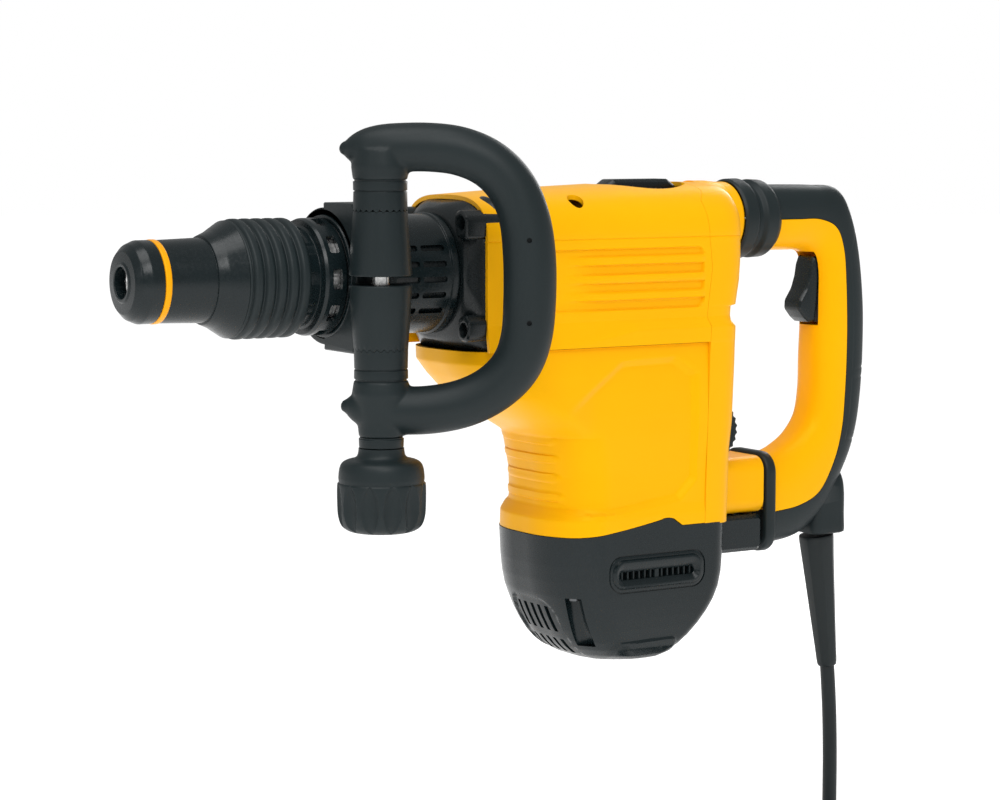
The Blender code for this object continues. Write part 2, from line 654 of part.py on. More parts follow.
def offset_inwards(points, distance):
    """The open line moved to its left by the distance, point by point."""
    moved = []
    for i, (x, z) in enumerate(points):
        before, after = points[max(i - 1, 0)], points[min(i + 1, len(points) - 1)]
        dx, dz = after[0] - before[0], after[1] - before[1]
        length = math.hypot(dx, dz)
        moved.append((x - dz / length * distance, z + dx / length * distance))
    return moved


def build_main_handle():
    yellow = YELLOW_EDGE + INNER_EDGE
    for sign, name in ((-1, "handle_shell_left"), (1, "handle_shell_right")):
        low, high = sorted((sign * 0.15, sign * HANDLE_HALF))
        shell = plate(name, yellow, low, high, "yellow")
        round_edges(shell, 6, 2, 60)
        low, high = sorted((sign * 8.5, sign * 15.5))
        join(shell, block(f"pivot_lug_{name}", (184.3, low, -156), (200, high, -144), None, 3))
        cut(shell, rod(f"lug_hole_{name}", -30, 30, 4.3, None, (PIVOT_X, 0, PIVOT_Z), (0, 1, 0), 16))
        cut(shell, block(f"trigger_pocket_{name}", (220, -9.8, -43.0), (247.0, 9.8, 5.5), None))
    black = [*offset_inwards(YELLOW_EDGE, GAP), *OUTER_EDGE]
    black[0], black[10] = (196.0, 27.8), (194.0, -159.7)
    overmould = plate("handle_overmould", black, -HANDLE_HALF, HANDLE_HALF, "rubber")
    round_edges(overmould, 5, 2, 60)
    block("switch_module", (240.5, -8.8, -40.0), (246.6, 8.8, 2.0), "carbon")
    band_outer = rounded_outline(-24.5, 24.5, -184.6, -120.4, 12)
    band_inner = rounded_outline(-20.6, 20.6, -180.8, -124.4, 9)
    return overmould, band_outer, band_inner


def rounded_outline(y0, y1, z0, z1, radius, steps=4):
    corners = [(y1, z1, 0), (y0, z1, 90), (y0, z0, 180), (y1, z0, 270)]
    points = []
    for y, z, first in corners:
        cy, cz = y - math.copysign(radius, y), z - (radius if z == z1 else -radius)
        for k in range(steps + 1):
            a = math.radians(first + 90 * k / steps)
            points.append((cy + radius * math.cos(a), cz + radius * math.sin(a)))
    return points


def build_joint_rubbers():
    """The bellows round the sprung upper arm and the band over the pivot of the lower arm."""
    outer = rounded_outline(-24.0, 24.0, -184.4, -120.6, 12)
    inner = rounded_outline(-20.4, 20.4, -180.8, -124.2, 9)
    rings = [[(x, y, z) for y, z in outline]
             for x, outline in ((184.6, outer), (192.6, outer), (192.6, inner), (184.6, inner))]
    loft("pivot_band", rings, "rubber", closed=True)
    turned("bellows", [
        (167.4, 19.8), (167.4, 22.5), (170.0, 24.6), (176.0, 24.6), (179.0, 21.6), (182.0, 21.4),
        (184.5, 24.4), (191.5, 24.4), (195.4, 21.4), (195.4, 18.6), (189.0, 19.6), (182.0, 18.4), (175.0, 19.8),
    ], "rubber", (0, 0, ARM_Z), seg=28)
    pipe("damper_spring", helix(153.5, 194.0, 10.5, 5, 10, ARM_Z), 1.5, "steel", 1)
    rod("pivot_pin", -17.0, 17.0, 4.0, "steel", (PIVOT_X, 0, PIVOT_Z), (0, 1, 0), 16)


def build_trigger():
    outline = [
        (239.8, 1.5), (232.6, 3.5), (230.0, -2.0), (229.0, -10.0), (226.0, -18.0), (221.8, -25.0),
        (221.4, -30.5), (226.0, -36.0), (230.0, -39.8), (234.6, -39.4),
    ]
    return round_edges(plate("trigger", outline, -8.8, 8.8, "black"), 1.6, 1, 50)


# ---------------------------------------------------------------- side handle


def tooth_ring(radius, inner, low, high, toothed_at, height):
    """Points of a collar whose end face is a ring of radial teeth."""
    rings = []
    for r, z in ((inner, low), (radius, low), (radius, high), (inner, high)):
        ring = []
        for k in range(2 * TEETH):
            a = math.pi * k / TEETH
            lift = height if k % 2 and abs(z - toothed_at) < 1e-6 else 0.0
            ring.append((r * math.cos(a), r * math.sin(a), z + lift))
        rings.append(ring)
    return rings


def build_clamp():
    """Two jaws round the barrel, drawn together by the bolt; each carries half of the toothed joints."""
    at = (BOLT_X, BOLT_Y, 0)
    for sign, name in ((1, "clamp_upper"), (-1, "clamp_lower")):
        low, high = sorted((sign * 0.4, sign * TOOTH_Z))
        jaw = loft(name, tooth_ring(16.8, 3.0, low, high, sign * TOOTH_Z, -1.8 * sign), "black", at, True)
        collar = tube(f"jaw_collar_{name}", -120.8, -97.0, 42.6, 34.0, None, seg=36)
        low, high = sorted((sign * 0.8, sign * 34.0))
        cheek = block(f"jaw_cheek_{name}", (-119.9, -50, low), (-97.9, -36, high), None)
        low, high = sorted((sign * 2.6, -sign * 60.0))
        other_half = block(f"jaw_gap_{name}", (-140, -80, low), (-80, 60, high), None)
        join(jaw, collar, cheek)
        cut(jaw, rod(f"barrel_clear_{name}", -140, -80, BARREL_R + 0.35, None, seg=36), other_half,
            rod(f"bolt_clear_{name}", -60, 60, 5.6, None, at, (0, 0, 1), 16))
    bolt = rod("clamp_bolt", -136, 61, 4.9, "steel", at, (0, 0, 1), 16)
    head = rod("bolt_head", 54, 61, 8.5, None, at, (0, 0, 1), 6)
    join(bolt, head)


def swing(u, z):
    """A point of the loop: u outwards from the bolt, in the loop's own vertical plane."""
    return (BOLT_X + u * math.cos(LOOP_SWING), BOLT_Y - u * math.sin(LOOP_SWING), z)


LOOP_LINE = [  # centre line of the loop, from the upper horn round to the lower one: (out, up, tube radius)
    (-19.5, 74.0, 4.5), (-15.0, 74.0, 8.0), (-6.0, 74.2, 12.0), (6.0, 74.6, 13.6), (28.0, 74.8, 13.8), (46.0, 72.3, 13.8),
    (62.0, 65.0, 13.8), (74.0, 52.5, 14.0), (81.0, 36.0, 14.4), (84.0, 15.0, 15.0), (84.3, -10.0, 15.0),
    (82.5, -32.0, 14.6), (76.5, -48.5, 14.2), (64.5, -61.0, 13.8), (48.0, -69.5, 13.8), (28.0, -73.6, 13.8),
    (6.0, -74.0, 13.6), (-6.0, -73.0, 12.0), (-15.0, -72.0, 8.0), (-19.5, -71.5, 4.5),
]


def build_loop():
    """The rubber loop, a tube of changing thickness, with necks that run down to the toothed collars."""
    rings = []
    count = len(LOOP_LINE)
    for i, (u, z, radius) in enumerate(LOOP_LINE):
        before, after = LOOP_LINE[max(i - 1, 0)], LOOP_LINE[min(i + 1, count - 1)]
        du, dz = after[0] - before[0], after[1] - before[1]
        length = math.hypot(du, dz)
        normal = (-dz / length, du / length)
        ring = []
        for k in range(16):
            a = 2 * math.pi * k / 16
            side, up = radius * math.cos(a), radius * math.sin(a)
            x, y, height = swing(u + normal[0] * up, z + normal[1] * up)
            ring.append((x + side * math.sin(LOOP_SWING), y + side * math.cos(LOOP_SWING), height))
        rings.append(ring)
    loop = loft("loop_grip", rings, "rubber")
    at, up = (BOLT_X, BOLT_Y, 0), (0, 0, 1)
    upper = turned("upper_neck", [(50.6, 9.2), (50.6, 14.8), (58, 14.9), (66, 16.5), (70, 15), (70, 9.2)], None, at, up, 24)
    lower = turned("lower_neck", [(-95.0, 9.2), (-95.0, 12.6), (-84, 13.0), (-70, 15.0), (-66, 16.5), (-58, 14.9), (-50.6, 14.8), (-50.6, 9.2)],
                   None, at, up, 24)
    join(loop, upper, lower)
    cut(loop, rod("loop_bolt_hole", -100, 64, 9.2, None, at, up, 24))
    for sign, name in ((1, "upper_tooth_collar"), (-1, "lower_tooth_collar")):
        tooth_end, far_end = sign * (TOOTH_Z + GAP), sign * 51.5
        low, high = sorted((tooth_end, far_end))
        join(loop, loft(name, tooth_ring(15.4, 9.2, low, high, tooth_end, 1.8 * sign), None, at, True))


def build_knob():
    profile = [
        (-143.5, 0), (-143.5, 19.0), (-140.5, 23.0), (-130.0, 25.0), (-118.0, 25.4), (-106.5, 24.0),
        (-102.5, 21.0), (-101.0, 14.0), (-95.4, 12.8), (-95.4, 6.0), (-138.0, 6.0), (-138.0, 0),
    ]
    knob = turned("side_knob", profile, "rubber", (BOLT_X, BOLT_Y, 0), (0, 0, 1), 40)
    for k in range(10):
        a = 2 * math.pi * k / 10
        x, y = BOLT_X + 29.5 * math.cos(a), BOLT_Y + 29.5 * math.sin(a)
        cut(knob, rod(f"knob_flute_{k}", -150, -112, 5.6, None, (x, y, 0), (0, 0, 1), 12))
    return knob


# ---------------------------------------------------------------- cord


def build_cord():
    (x0, z0), (x1, z1) = RELIEF_TOP, RELIEF_END
    length = math.hypot(x1 - x0, z1 - z0)
    along = ((x1 - x0) / length, 0, (z1 - z0) / length)
    turned("cord_sleeve", [
        (0, 0), (0, 11.4), (20, 10.2), (50, 8.4), (length - 3, 6.8), (length, 6.2), (length, 0),
    ], "rubber", (x0, 0, z0), along, 20)
    pipe("cord", smooth_route(CORD_ROUTE, 12), CORD_D / 2, "rubber", 2)
    outer = COIL_OUTER + CORD_D / 2
    height = COIL_RISE * (COIL_LAYERS - 1) + CORD_D
    coil = tube("cord_coil", FLOOR_Z, FLOOR_Z + height, outer + 0.6, COIL_INNER - CORD_D / 2 - 0.6, "rubber",
                (COIL_X, COIL_Y, 0), (0, 0, 1), 40)
    round_edges(coil, 3.5, 2)
    notch = block("coil_entry", (COIL_X + 75.4, COIL_Y - 19, FLOOR_Z - 1), (COIL_X + 90, COIL_Y + 25, FLOOR_Z + 40), None)
    cut(coil, notch)
    base = FLOOR_Z + height + 0.3
    middle = COIL_Y - (outer + COIL_INNER - CORD_D / 2) / 2
    plug = block("mains_plug", (COIL_X - 24, middle - 19, base), (COIL_X + 20, middle + 19, base + 17), "rubber", 6, 2)
    for y in (-9.5, 9.5):
        pin = rod(f"plug_pin_{y:.0f}", -43, -20, 2.4, None, (COIL_X, middle + y, base + 8.5), (1, 0, 0), 12)
        join(plug, pin)


build_tool_holder()
build_dust_cap()
build_sleeve()
build_index_collar()
build_gear_case()
build_barrel_cover()
build_hammer_mechanism()
build_crank()
build_motor()
build_bearing_plate()
build_upper_housing()
build_motor_housing()
build_bottom_cap()
build_rear_cover()
build_main_handle()
build_joint_rubbers()
build_trigger()
build_clamp()
build_loop()
build_knob()
build_cord()
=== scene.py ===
"""Looks of the demolition hammer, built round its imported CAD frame.

Sizes are millimetres in the tool frame (tool axis y = z = 0, nose towards -X, Z up); `place` moves
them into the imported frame, whose origin is the middle of the main grip.
"""

import json
import math

import bmesh
import bpy
from mathutils import Matrix, Vector

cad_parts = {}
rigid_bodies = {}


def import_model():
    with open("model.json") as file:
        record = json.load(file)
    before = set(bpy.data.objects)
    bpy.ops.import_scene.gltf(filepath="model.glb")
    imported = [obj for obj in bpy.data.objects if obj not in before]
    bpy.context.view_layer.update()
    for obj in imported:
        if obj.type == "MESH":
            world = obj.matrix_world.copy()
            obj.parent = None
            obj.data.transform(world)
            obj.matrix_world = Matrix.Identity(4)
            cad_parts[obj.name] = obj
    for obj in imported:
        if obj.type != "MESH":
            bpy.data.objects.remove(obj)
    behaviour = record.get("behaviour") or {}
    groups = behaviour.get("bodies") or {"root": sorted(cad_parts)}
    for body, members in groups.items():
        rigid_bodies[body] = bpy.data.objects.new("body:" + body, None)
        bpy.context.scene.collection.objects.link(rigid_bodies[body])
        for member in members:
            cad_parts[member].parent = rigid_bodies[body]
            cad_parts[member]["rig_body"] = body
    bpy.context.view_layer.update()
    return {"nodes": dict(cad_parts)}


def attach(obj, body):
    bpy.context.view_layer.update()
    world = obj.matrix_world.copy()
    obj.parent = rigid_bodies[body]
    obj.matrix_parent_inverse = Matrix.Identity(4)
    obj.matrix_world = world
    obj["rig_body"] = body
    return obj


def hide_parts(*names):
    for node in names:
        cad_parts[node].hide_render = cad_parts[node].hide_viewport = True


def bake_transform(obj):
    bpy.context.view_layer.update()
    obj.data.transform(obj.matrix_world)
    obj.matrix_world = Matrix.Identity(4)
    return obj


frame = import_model()
SHIFT = Vector((-251.0, 0.0, 42.0))
MM = 0.001
TAU = 2 * math.pi


def place(point):
    return (Vector(point) + SHIFT) * MM


# ---------------------------------------------------------------- camera, floor, light

CAMERA_AT, CAMERA_FORWARD, CAMERA_LENS = (-860.33, -1389.72, 87.41), (0.52365, 0.84592, -0.10103), 97.6
FLOOR_Z, FLOOR_GLOW, SURROUND_LIGHT = -430.0, 0.32, 0.42


def build_camera():
    camera = bpy.data.objects.new("camera", bpy.data.cameras.new("camera"))
    bpy.context.scene.collection.objects.link(camera)
    camera.location = place(CAMERA_AT)
    camera.rotation_euler = Vector(CAMERA_FORWARD).to_track_quat("-Z", "Y").to_euler()
    camera.data.lens = CAMERA_LENS
    camera.data.sensor_width = 36
    camera.data.clip_start, camera.data.clip_end = 0.05, 60
    bpy.context.scene.camera = camera


def build_stage():
    """A pale floor, and a white surround that looks brighter than it shines."""
    material = bpy.data.materials.new("stage")
    material.use_nodes = True
    shader = material.node_tree.nodes["Principled BSDF"]
    shader.inputs["Base Color"].default_value = (0.93, 0.93, 0.93, 1)
    shader.inputs["Roughness"].default_value = 0.9
    shader.inputs["Emission Color"].default_value = (1, 1, 1, 1)
    shader.inputs["Emission Strength"].default_value = FLOOR_GLOW
    bm = bmesh.new()
    bmesh.ops.create_circle(bm, cap_ends=True, segments=96, radius=14)
    mesh = bpy.data.meshes.new("floor")
    bm.to_mesh(mesh)
    bm.free()
    mesh.materials.append(material)
    floor = bpy.data.objects.new("floor", mesh)
    floor.location = (0, 0, place((0, 0, FLOOR_Z)).z)
    bpy.context.scene.collection.objects.link(floor)
    world = bpy.data.worlds.new("studio")
    bpy.context.scene.world = world
    world.use_nodes = True
    tree = world.node_tree
    surround = tree.nodes["Background"]
    surround.inputs["Color"].default_value = (1, 1, 1, 1)
    path, seen = tree.nodes.new("ShaderNodeLightPath"), tree.nodes.new("ShaderNodeMapRange")
    seen.inputs["To Min"].default_value, seen.inputs["To Max"].default_value = SURROUND_LIGHT, 1.0
    tree.links.new(path.outputs["Is Camera Ray"], seen.inputs["Value"])
    tree.links.new(seen.outputs["Result"], surround.inputs["Strength"])
    bpy.context.scene.view_settings.view_transform = "Standard"


def add_light(name, offset, wide, high, power):
    """A soft box, placed from the middle of the tool (metres) and aimed at it."""
    middle = place((20, 0, -60))
    data = bpy.data.lights.new(name, "AREA")
    data.shape, data.size, data.size_y, data.energy = "RECTANGLE", wide, high, power
    light = bpy.data.objects.new(name, data)
    light.location = middle + Vector(offset)
    light.rotation_euler = (-Vector(offset)).to_track_quat("-Z", "Y").to_euler()
    bpy.context.scene.collection.objects.link(light)


def build_lights():
    add_light("key", (-0.6, -1.5, 1.4), 0.9, 0.9, 16.5)
    add_light("left", (-1.7, -0.7, 0.9), 0.4, 1.0, 2.5)
    add_light("rim", (1.4, 0.9, 0.6), 0.5, 1.0, 8)
    data = bpy.data.lights.new("sky", "SUN")
    data.energy, data.angle = 1.3, math.radians(40)
    light = bpy.data.objects.new("sky", data)
    light.rotation_euler = Vector((0.25, 0.12, -1)).to_track_quat("-Z", "Y").to_euler()
    bpy.context.scene.collection.objects.link(light)


# ---------------------------------------------------------------- materials


def node(tree, kind, **inputs):
    made = tree.nodes.new(kind)
    for key, value in inputs.items():
        made.inputs[key.replace("_", " ")].default_value = value
    return made


def moulded(name, colour, rough, grain=900.0, depth=0.05, spread=0.06, metallic=0.0, specular=0.5,
            tint=(1, 1, 1),
            mottle=9.0):
    """Moulded or cast surface: fine surface grain, faint blotches in tone, and varying gloss."""
    material = bpy.data.materials.new(name)
    material.use_nodes = True
    tree = material.node_tree
    shader = tree.nodes["Principled BSDF"]
    shader.inputs["Metallic"].default_value = metallic
    shader.inputs["Specular IOR Level"].default_value = specular
    shader.inputs["Specular Tint"].default_value = (*tint, 1)
    place_in = tree.nodes.new("ShaderNodeTexCoord")
    blotch = node(tree, "ShaderNodeTexNoise", Scale=mottle, Detail=4.0, Roughness=0.6)
    tone = tree.nodes.new("ShaderNodeValToRGB")
    tone.color_ramp.elements[0].position, tone.color_ramp.elements[1].position = 0.3, 0.72
    tone.color_ramp.elements[0].color = (*[c * (1 - spread) for c in colour], 1)
    tone.color_ramp.elements[1].color = (*[min(1, c * (1 + spread)) for c in colour], 1)
    fine = node(tree, "ShaderNodeTexNoise", Scale=grain, Detail=2.0, Roughness=0.55)
    gloss = tree.nodes.new("ShaderNodeMapRange")
    gloss.inputs["From Min"].default_value, gloss.inputs["From Max"].default_value = 0.25, 0.75
    gloss.inputs["To Min"].default_value, gloss.inputs["To Max"].default_value = rough - 0.07, rough + 0.07
    bump = node(tree, "ShaderNodeBump", Strength=0.9, Distance=depth * MM)
    link = tree.links.new
    for texture in (blotch, fine):
        link(place_in.outputs["Object"], texture.inputs["Vector"])
    link(blotch.outputs["Fac"], tone.inputs["Fac"])
    link(tone.outputs["Color"], shader.inputs["Base Color"])
    link(fine.outputs["Fac"], gloss.inputs["Value"])
    link(gloss.outputs["Result"], shader.inputs["Roughness"])
    link(fine.outputs["Fac"], bump.inputs["Height"])
    link(bump.outputs["Normal"], shader.inputs["Normal"])
    return material


YELLOW = moulded("yellow_plastic", (0.955, 0.452, 0.002), 0.38, 1300, 0.02, 0.03, specular=0.30,
                 tint=(1, 0.7, 0.08))
BLACK = moulded("black_plastic", (0.0085, 0.0145, 0.0160), 0.42, 1100, 0.02, 0.12, specular=0.26)
GLOSSY = moulded("glossy_black", (0.0055, 0.0105, 0.0120), 0.26, 500, 0.003, 0.12, specular=0.30)
CASTING = moulded("painted_casting", (0.0055, 0.0090, 0.0100), 0.30, 600, 0.03, 0.12, specular=0.34)
RUBBER = moulded("soft_grip", (0.0090, 0.0155, 0.0170), 0.48, 1500, 0.03, 0.12, specular=0.27)
CORD_RUBBER = moulded("cord_rubber", (0.0085, 0.0130, 0.0140), 0.45, 1200, 0.03, 0.12, specular=0.27)
ORANGE = moulded("ring_plastic", (0.93, 0.38, 0.004), 0.34, 1000, 0.02, 0.04, specular=0.32,
                 tint=(1, 0.75, 0.22))
STEEL = moulded("bright_steel", (0.74, 0.74, 0.73), 0.30, 420, 0.015, 0.08, metallic=1.0)
DARK_STEEL = moulded("dark_steel", (0.12, 0.125, 0.13), 0.36, 420, 0.02, 0.15, metallic=1.0)
IRON = moulded("iron", (0.20, 0.20, 0.20), 0.5, 500, 0.05, 0.15, metallic=0.9)
COPPER = moulded("copper", (0.66, 0.33, 0.19), 0.38, 500, 0.02, 0.12, metallic=1.0)
CARBON = moulded("carbon", (0.05, 0.05, 0.055), 0.6, 900, 0.05, 0.12)
BOARD = moulded("potting", (0.02, 0.09, 0.05), 0.45, 700, 0.03, 0.12)


# ---------------------------------------------------------------- mesh helpers


def finish_piece(name, bm, material, body, replaced=(), angle=32):
    """Turns a bmesh in tool millimetres into a piece that rides on a body and stands for CAD nodes."""
    bmesh.ops.remove_doubles(bm, verts=bm.verts, dist=1e-4)
    bmesh.ops.recalc_face_normals(bm, faces=bm.faces)
    for vert in bm.verts:
        vert.co = place(vert.co)
    mesh = bpy.data.meshes.new(name)
    bm.to_mesh(mesh)
    bm.free()
    mesh.shade_smooth()
    mesh.set_sharp_from_angle(angle=math.radians(angle))
    mesh.materials.append(material)
    obj = bpy.data.objects.new(name, mesh)
    bpy.context.scene.collection.objects.link(obj)
    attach(obj, body)
    if replaced:
        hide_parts(*replaced)
    return obj


def cutter(bm):
    """A helper for Booleans, in tool millimetres; `bake` deletes it after use."""
    bmesh.ops.recalc_face_normals(bm, faces=bm.faces)
    for vert in bm.verts:
        vert.co = place(vert.co)
    mesh = bpy.data.meshes.new("cutter")
    bm.to_mesh(mesh)
    bm.free()
    obj = bpy.data.objects.new("cutter", mesh)
    bpy.context.scene.collection.objects.link(obj)
    return obj


def cut(bm):
    return "DIFFERENCE", cutter(bm)


def join(bm):
    return "UNION", cutter(bm)


def bake(obj, steps, angle=32, bevel=0.0, segments=3, bevel_angle=35):
    """Applies Booleans (operation, helper) and then an optional rounding of the hard edges."""
    for operation, other in steps:
        modifier = obj.modifiers.new("bool", "BOOLEAN")
        modifier.operation, modifier.object, modifier.solver = operation, other, "EXACT"
    if bevel:
        rounding = obj.modifiers.new("rounding", "BEVEL")
        rounding.width, rounding.segments = bevel * MM, segments
        rounding.limit_method, rounding.angle_limit = "ANGLE", math.radians(bevel_angle)
    graph = bpy.context.evaluated_depsgraph_get()
    mesh = bpy.data.meshes.new_from_object(obj.evaluated_get(graph))
    obj.modifiers.clear()
    old, obj.data = obj.data, mesh
    bpy.data.meshes.remove(old)
    mesh.shade_smooth()
    mesh.set_sharp_from_angle(angle=math.radians(angle))
    for _, other in steps:
        bpy.data.objects.remove(other)


def fillet(profile, steps=5):
    """Rounds the corners of a 2D outline; a corner is (a, b) or (a, b, radius)."""
    points, count = [], len(profile)
    for i, corner in enumerate(profile):
        here = Vector(corner[:2])
        radius = corner[2] if len(corner) > 2 else 0
        if not radius:
            points.append(here)
            continue
        one = Vector(profile[i - 1][:2]) - here
        two = Vector(profile[(i + 1) % count][:2]) - here
        half = one.angle(two) / 2
        reach = min(radius / math.tan(half), one.length * 0.49, two.length * 0.49)
        radius = reach * math.tan(half)
        centre = here + (one.normalized() + two.normalized()).normalized() * (radius / math.sin(half))
        a, b = here + one.normalized() * reach, here + two.normalized() * reach
        for k in range(steps + 1):
            t = k / steps
            v = (a - centre).lerp(b - centre, t)
            points.append(centre + v.normalized() * radius)
    return points


def rect(u0, u1, v0, v1, radius=0):
    """Corners of a rectangle, for `fillet` and `prism`."""
    return [(u0, v0, radius), (u1, v0, radius), (u1, v1, radius), (u0, v1, radius)]


def turned(profile, axis="X", at=(0, 0, 0), seg=128, steps=5, warp=None, round_off=True):
    """Revolves a closed outline of (along, radius) corners; warp(along, radius, angle) bends the radius."""
    points = fillet(profile, steps) if round_off else [Vector(p[:2]) for p in profile]
    bm = bmesh.new()
    rings = []
    for along, radius in points:
        ring = []
        for k in range(seg):
            angle = TAU * k / seg
            r = warp(along, radius, angle) if warp else radius
            c, s = r * math.cos(angle), r * math.sin(angle)
            spot = {"X": (along, c, s), "Z": (c, s, along), "Y": (c, along, s)}[axis]
            ring.append(bm.verts.new(Vector(spot) + Vector(at)))
        rings.append(ring)
    for one, two in zip(rings, rings[1:] + rings[:1]):
        for k in range(seg):
            bm.faces.new((one[k - 1], one[k], two[k], two[k - 1]))
    bmesh.ops.remove_doubles(bm, verts=bm.verts, dist=1e-4)
    bmesh.ops.dissolve_degenerate(bm, edges=bm.edges, dist=1e-5)
    bmesh.ops.delete(bm, geom=[e for e in bm.edges if not e.link_faces], context="EDGES")
    return bm


def skin(rings, loop=False):
    """A surface through closed rings of points."""
    bm = bmesh.new()
    made = [[bm.verts.new(p) for p in ring] for ring in rings]
    pairs = list(zip(made, made[1:])) + ([(made[-1], made[0])] if loop else [])
    for one, two in pairs:
        for k in range(len(one)):
            bm.faces.new((one[k - 1], one[k], two[k], two[k - 1]))
    if not loop:
        bm.faces.new(made[0])
        bm.faces.new(made[-1])
    return bm


def prism(outline, low, high, plane="XZ", steps=4, bevel=0.0):
    """An outline with rounded corners, extruded along the plane's normal, with chamfered rims."""
    points = fillet(outline, steps)
    put = {"XZ": lambda a, b, c: (a, c, b), "XY": lambda a, b, c: (a, b, c),
           "YZ": lambda a, b, c: (c, a, b)}[plane]
    if bevel:
        heights = [(low, bevel), (low + bevel, 0), (high - bevel, 0), (high, bevel)]
    else:
        heights = [(low, 0), (high, 0)]
    count = len(points)
    rings = []
    for level, inset in heights:
        ring = []
        for i, p in enumerate(points):
            along = (points[(i + 1) % count] - points[i - 1]).normalized()
            q = p + Vector((-along.y, along.x)) * inset * winding(points)
            ring.append(put(q.x, q.y, level))
        rings.append(ring)
    return skin(rings)


def winding(points):
    area = sum(points[i - 1].x * points[i].y - points[i].x * points[i - 1].y for i in range(len(points)))
    return 1 if area > 0 else -1


def moved(bm, offset):
    bmesh.ops.translate(bm, vec=offset, verts=bm.verts)
    return bm


def merged(*parts):
    """One bmesh that holds several."""
    bm = parts[0]
    for other in parts[1:]:
        mesh = bpy.data.meshes.new("part")
        other.to_mesh(mesh)
        other.free()
        bm.from_mesh(mesh)
        bpy.data.meshes.remove(mesh)
    return bm


def box(low, high):
    bm = bmesh.new()
    size, middle = Vector(high) - Vector(low), (Vector(high) + Vector(low)) / 2
    bmesh.ops.create_cube(bm, size=1, matrix=Matrix.Translation(middle) @ Matrix.Diagonal((*size, 1)))
    return bm


def barrel(start, end, radius, axis="X", at=(0, 0, 0), seg=96):
    return turned([(start, 0), (start, radius), (end, radius), (end, 0)], axis, at, seg, round_off=False)


def spline(points, count):
    """`count` points evenly along a Catmull-Rom curve through the given ones, of any dimension."""
    points = [Vector(p) for p in points]
    ends = [2 * points[0] - points[1], *points, 2 * points[-1] - points[-2]]
    fine = []
    for a, b, c, d in zip(ends, ends[1:], ends[2:], ends[3:]):
        for k in range(24):
            t = k / 24
            fine.append(0.5 * (2 * b + (c - a) * t + (2 * a - 5 * b + 4 * c - d) * t**2
                               + (3 * b - a - 3 * c + d) * t**3))
    fine.append(points[-1])
    lengths = [0.0]
    for one, two in zip(fine, fine[1:]):
        lengths.append(lengths[-1] + (two - one).length)
    out, j = [], 0
    for k in range(count):
        want = lengths[-1] * k / (count - 1)
        while j < len(fine) - 2 and lengths[j + 1] < want:
            j += 1
        t = (want - lengths[j]) / max(1e-9, lengths[j + 1] - lengths[j])
        out.append(fine[j].lerp(fine[j + 1], min(1, max(0, t))))
    return out


def ramp(value, low, high):
    """0 below low, 1 above high, smooth between."""
    t = min(1.0, max(0.0, (value - low) / (high - low)))
    return t * t * (3 - 2 * t)


# ---------------------------------------------------------------- cord

CORD_R = 4.75
CORD_ROUTE = [  # from the bend relief down to the floor and round to where the coil starts
    (254.68, 0.0, -268.6), (256.0, 0.0, -285.0), (257.2, 0.0, -305.0), (257.9, 0.0, -330.0),
    (258.0, 0.0, -355.0),
    (258.0, 0.0, -377.0), (258.0, -1.6, -389.6), (258.0, -6.4, -401.2), (258.0, -14.1, -411.1),
    (258.0, -24.0, -418.8), (258.0, -35.6, -423.6), (258.0, -48.0, -425.2), (255.4, -63.9, -425.2),
    (247.9, -78.2, -425.2), (236.2, -89.3, -425.2),
]
COIL_AT = Vector((176.0, -42.0))
COIL_INNER, COIL_OUTER, COIL_RISE = 38.5, 73.0, 10.0
COIL_START, COIL_TURNS, TOP_TURNS = 0.1547, 3.5, 2.1
RISES = (0.4, 0.25)  # turns that the cord takes to climb to the next layer
PLUG_Y, PLUG_Z = -97.75, -391.7


def coil_point(turn, radius, z):
    angle = -TAU * turn
    return Vector((COIL_AT.x + radius * math.cos(angle), COIL_AT.y + radius * math.sin(angle), z))


def coil_points():
    """Layer 0 winds inwards, layer 1 outwards, layer 2 inwards; then the end crosses the top to the plug."""
    per_turn = 48
    points, turn, z = [], 0.0, CORD_ROUTE[-1][2]
    inwards = (COIL_OUTER - COIL_INNER) / COIL_TURNS
    spans = [(COIL_TURNS, COIL_OUTER, COIL_INNER), (COIL_TURNS, COIL_INNER, COIL_OUTER),
             (TOP_TURNS, COIL_OUTER, COIL_OUTER - inwards * TOP_TURNS)]
    for layer, (turns, start, end) in enumerate(spans):
        count = round(turns * per_turn)
        for k in range(0 if layer == 0 else 1, count + 1):
            if turn + turns * k / count >= COIL_START:
                points.append(coil_point(turn + turns * k / count, start + (end - start) * k / count, z))
        turn += turns
        if layer < 2:
            for k in range(1, 17):
                points.append(coil_point(turn + RISES[layer] * k / 16, end, z + COIL_RISE * ramp(k, 0, 16)))
            turn += RISES[layer]
            z += COIL_RISE
    radius, last = (points[-1].y - PLUG_Y) / 2, len(points)
    for k in range(25):
        angle = math.pi * (0.5 - k / 24)
        x, y = COIL_AT.x + 14 + radius * math.cos(angle), PLUG_Y + radius + radius * math.sin(angle)
        points.append(Vector((x, y, z)))
    for k, point in enumerate(points[last - 12:]):
        point.z += 9.8 * ramp(k, 0, 17) + (PLUG_Z - z - 9.8) * ramp(k, 27, 35)
    return points


def build_cord():
    path = spline(CORD_ROUTE, 60) + coil_points()
    curve = bpy.data.curves.new("cord_line", "CURVE")
    curve.dimensions = "3D"
    line = curve.splines.new("POLY")
    line.points.add(len(path) - 1)
    for point, co in zip(line.points, path):
        point.co = (*place(co), 1)
    curve.bevel_depth, curve.bevel_resolution, curve.use_fill_caps = CORD_R * MM, 5, True
    curve.materials.append(CORD_RUBBER)
    cord = bpy.data.objects.new("mains_cord", curve)
    bpy.context.scene.collection.objects.link(cord)
    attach(cord, "handle")
    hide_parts("cord", "cord_coil")
    build_tie()
    plug = build_plug()


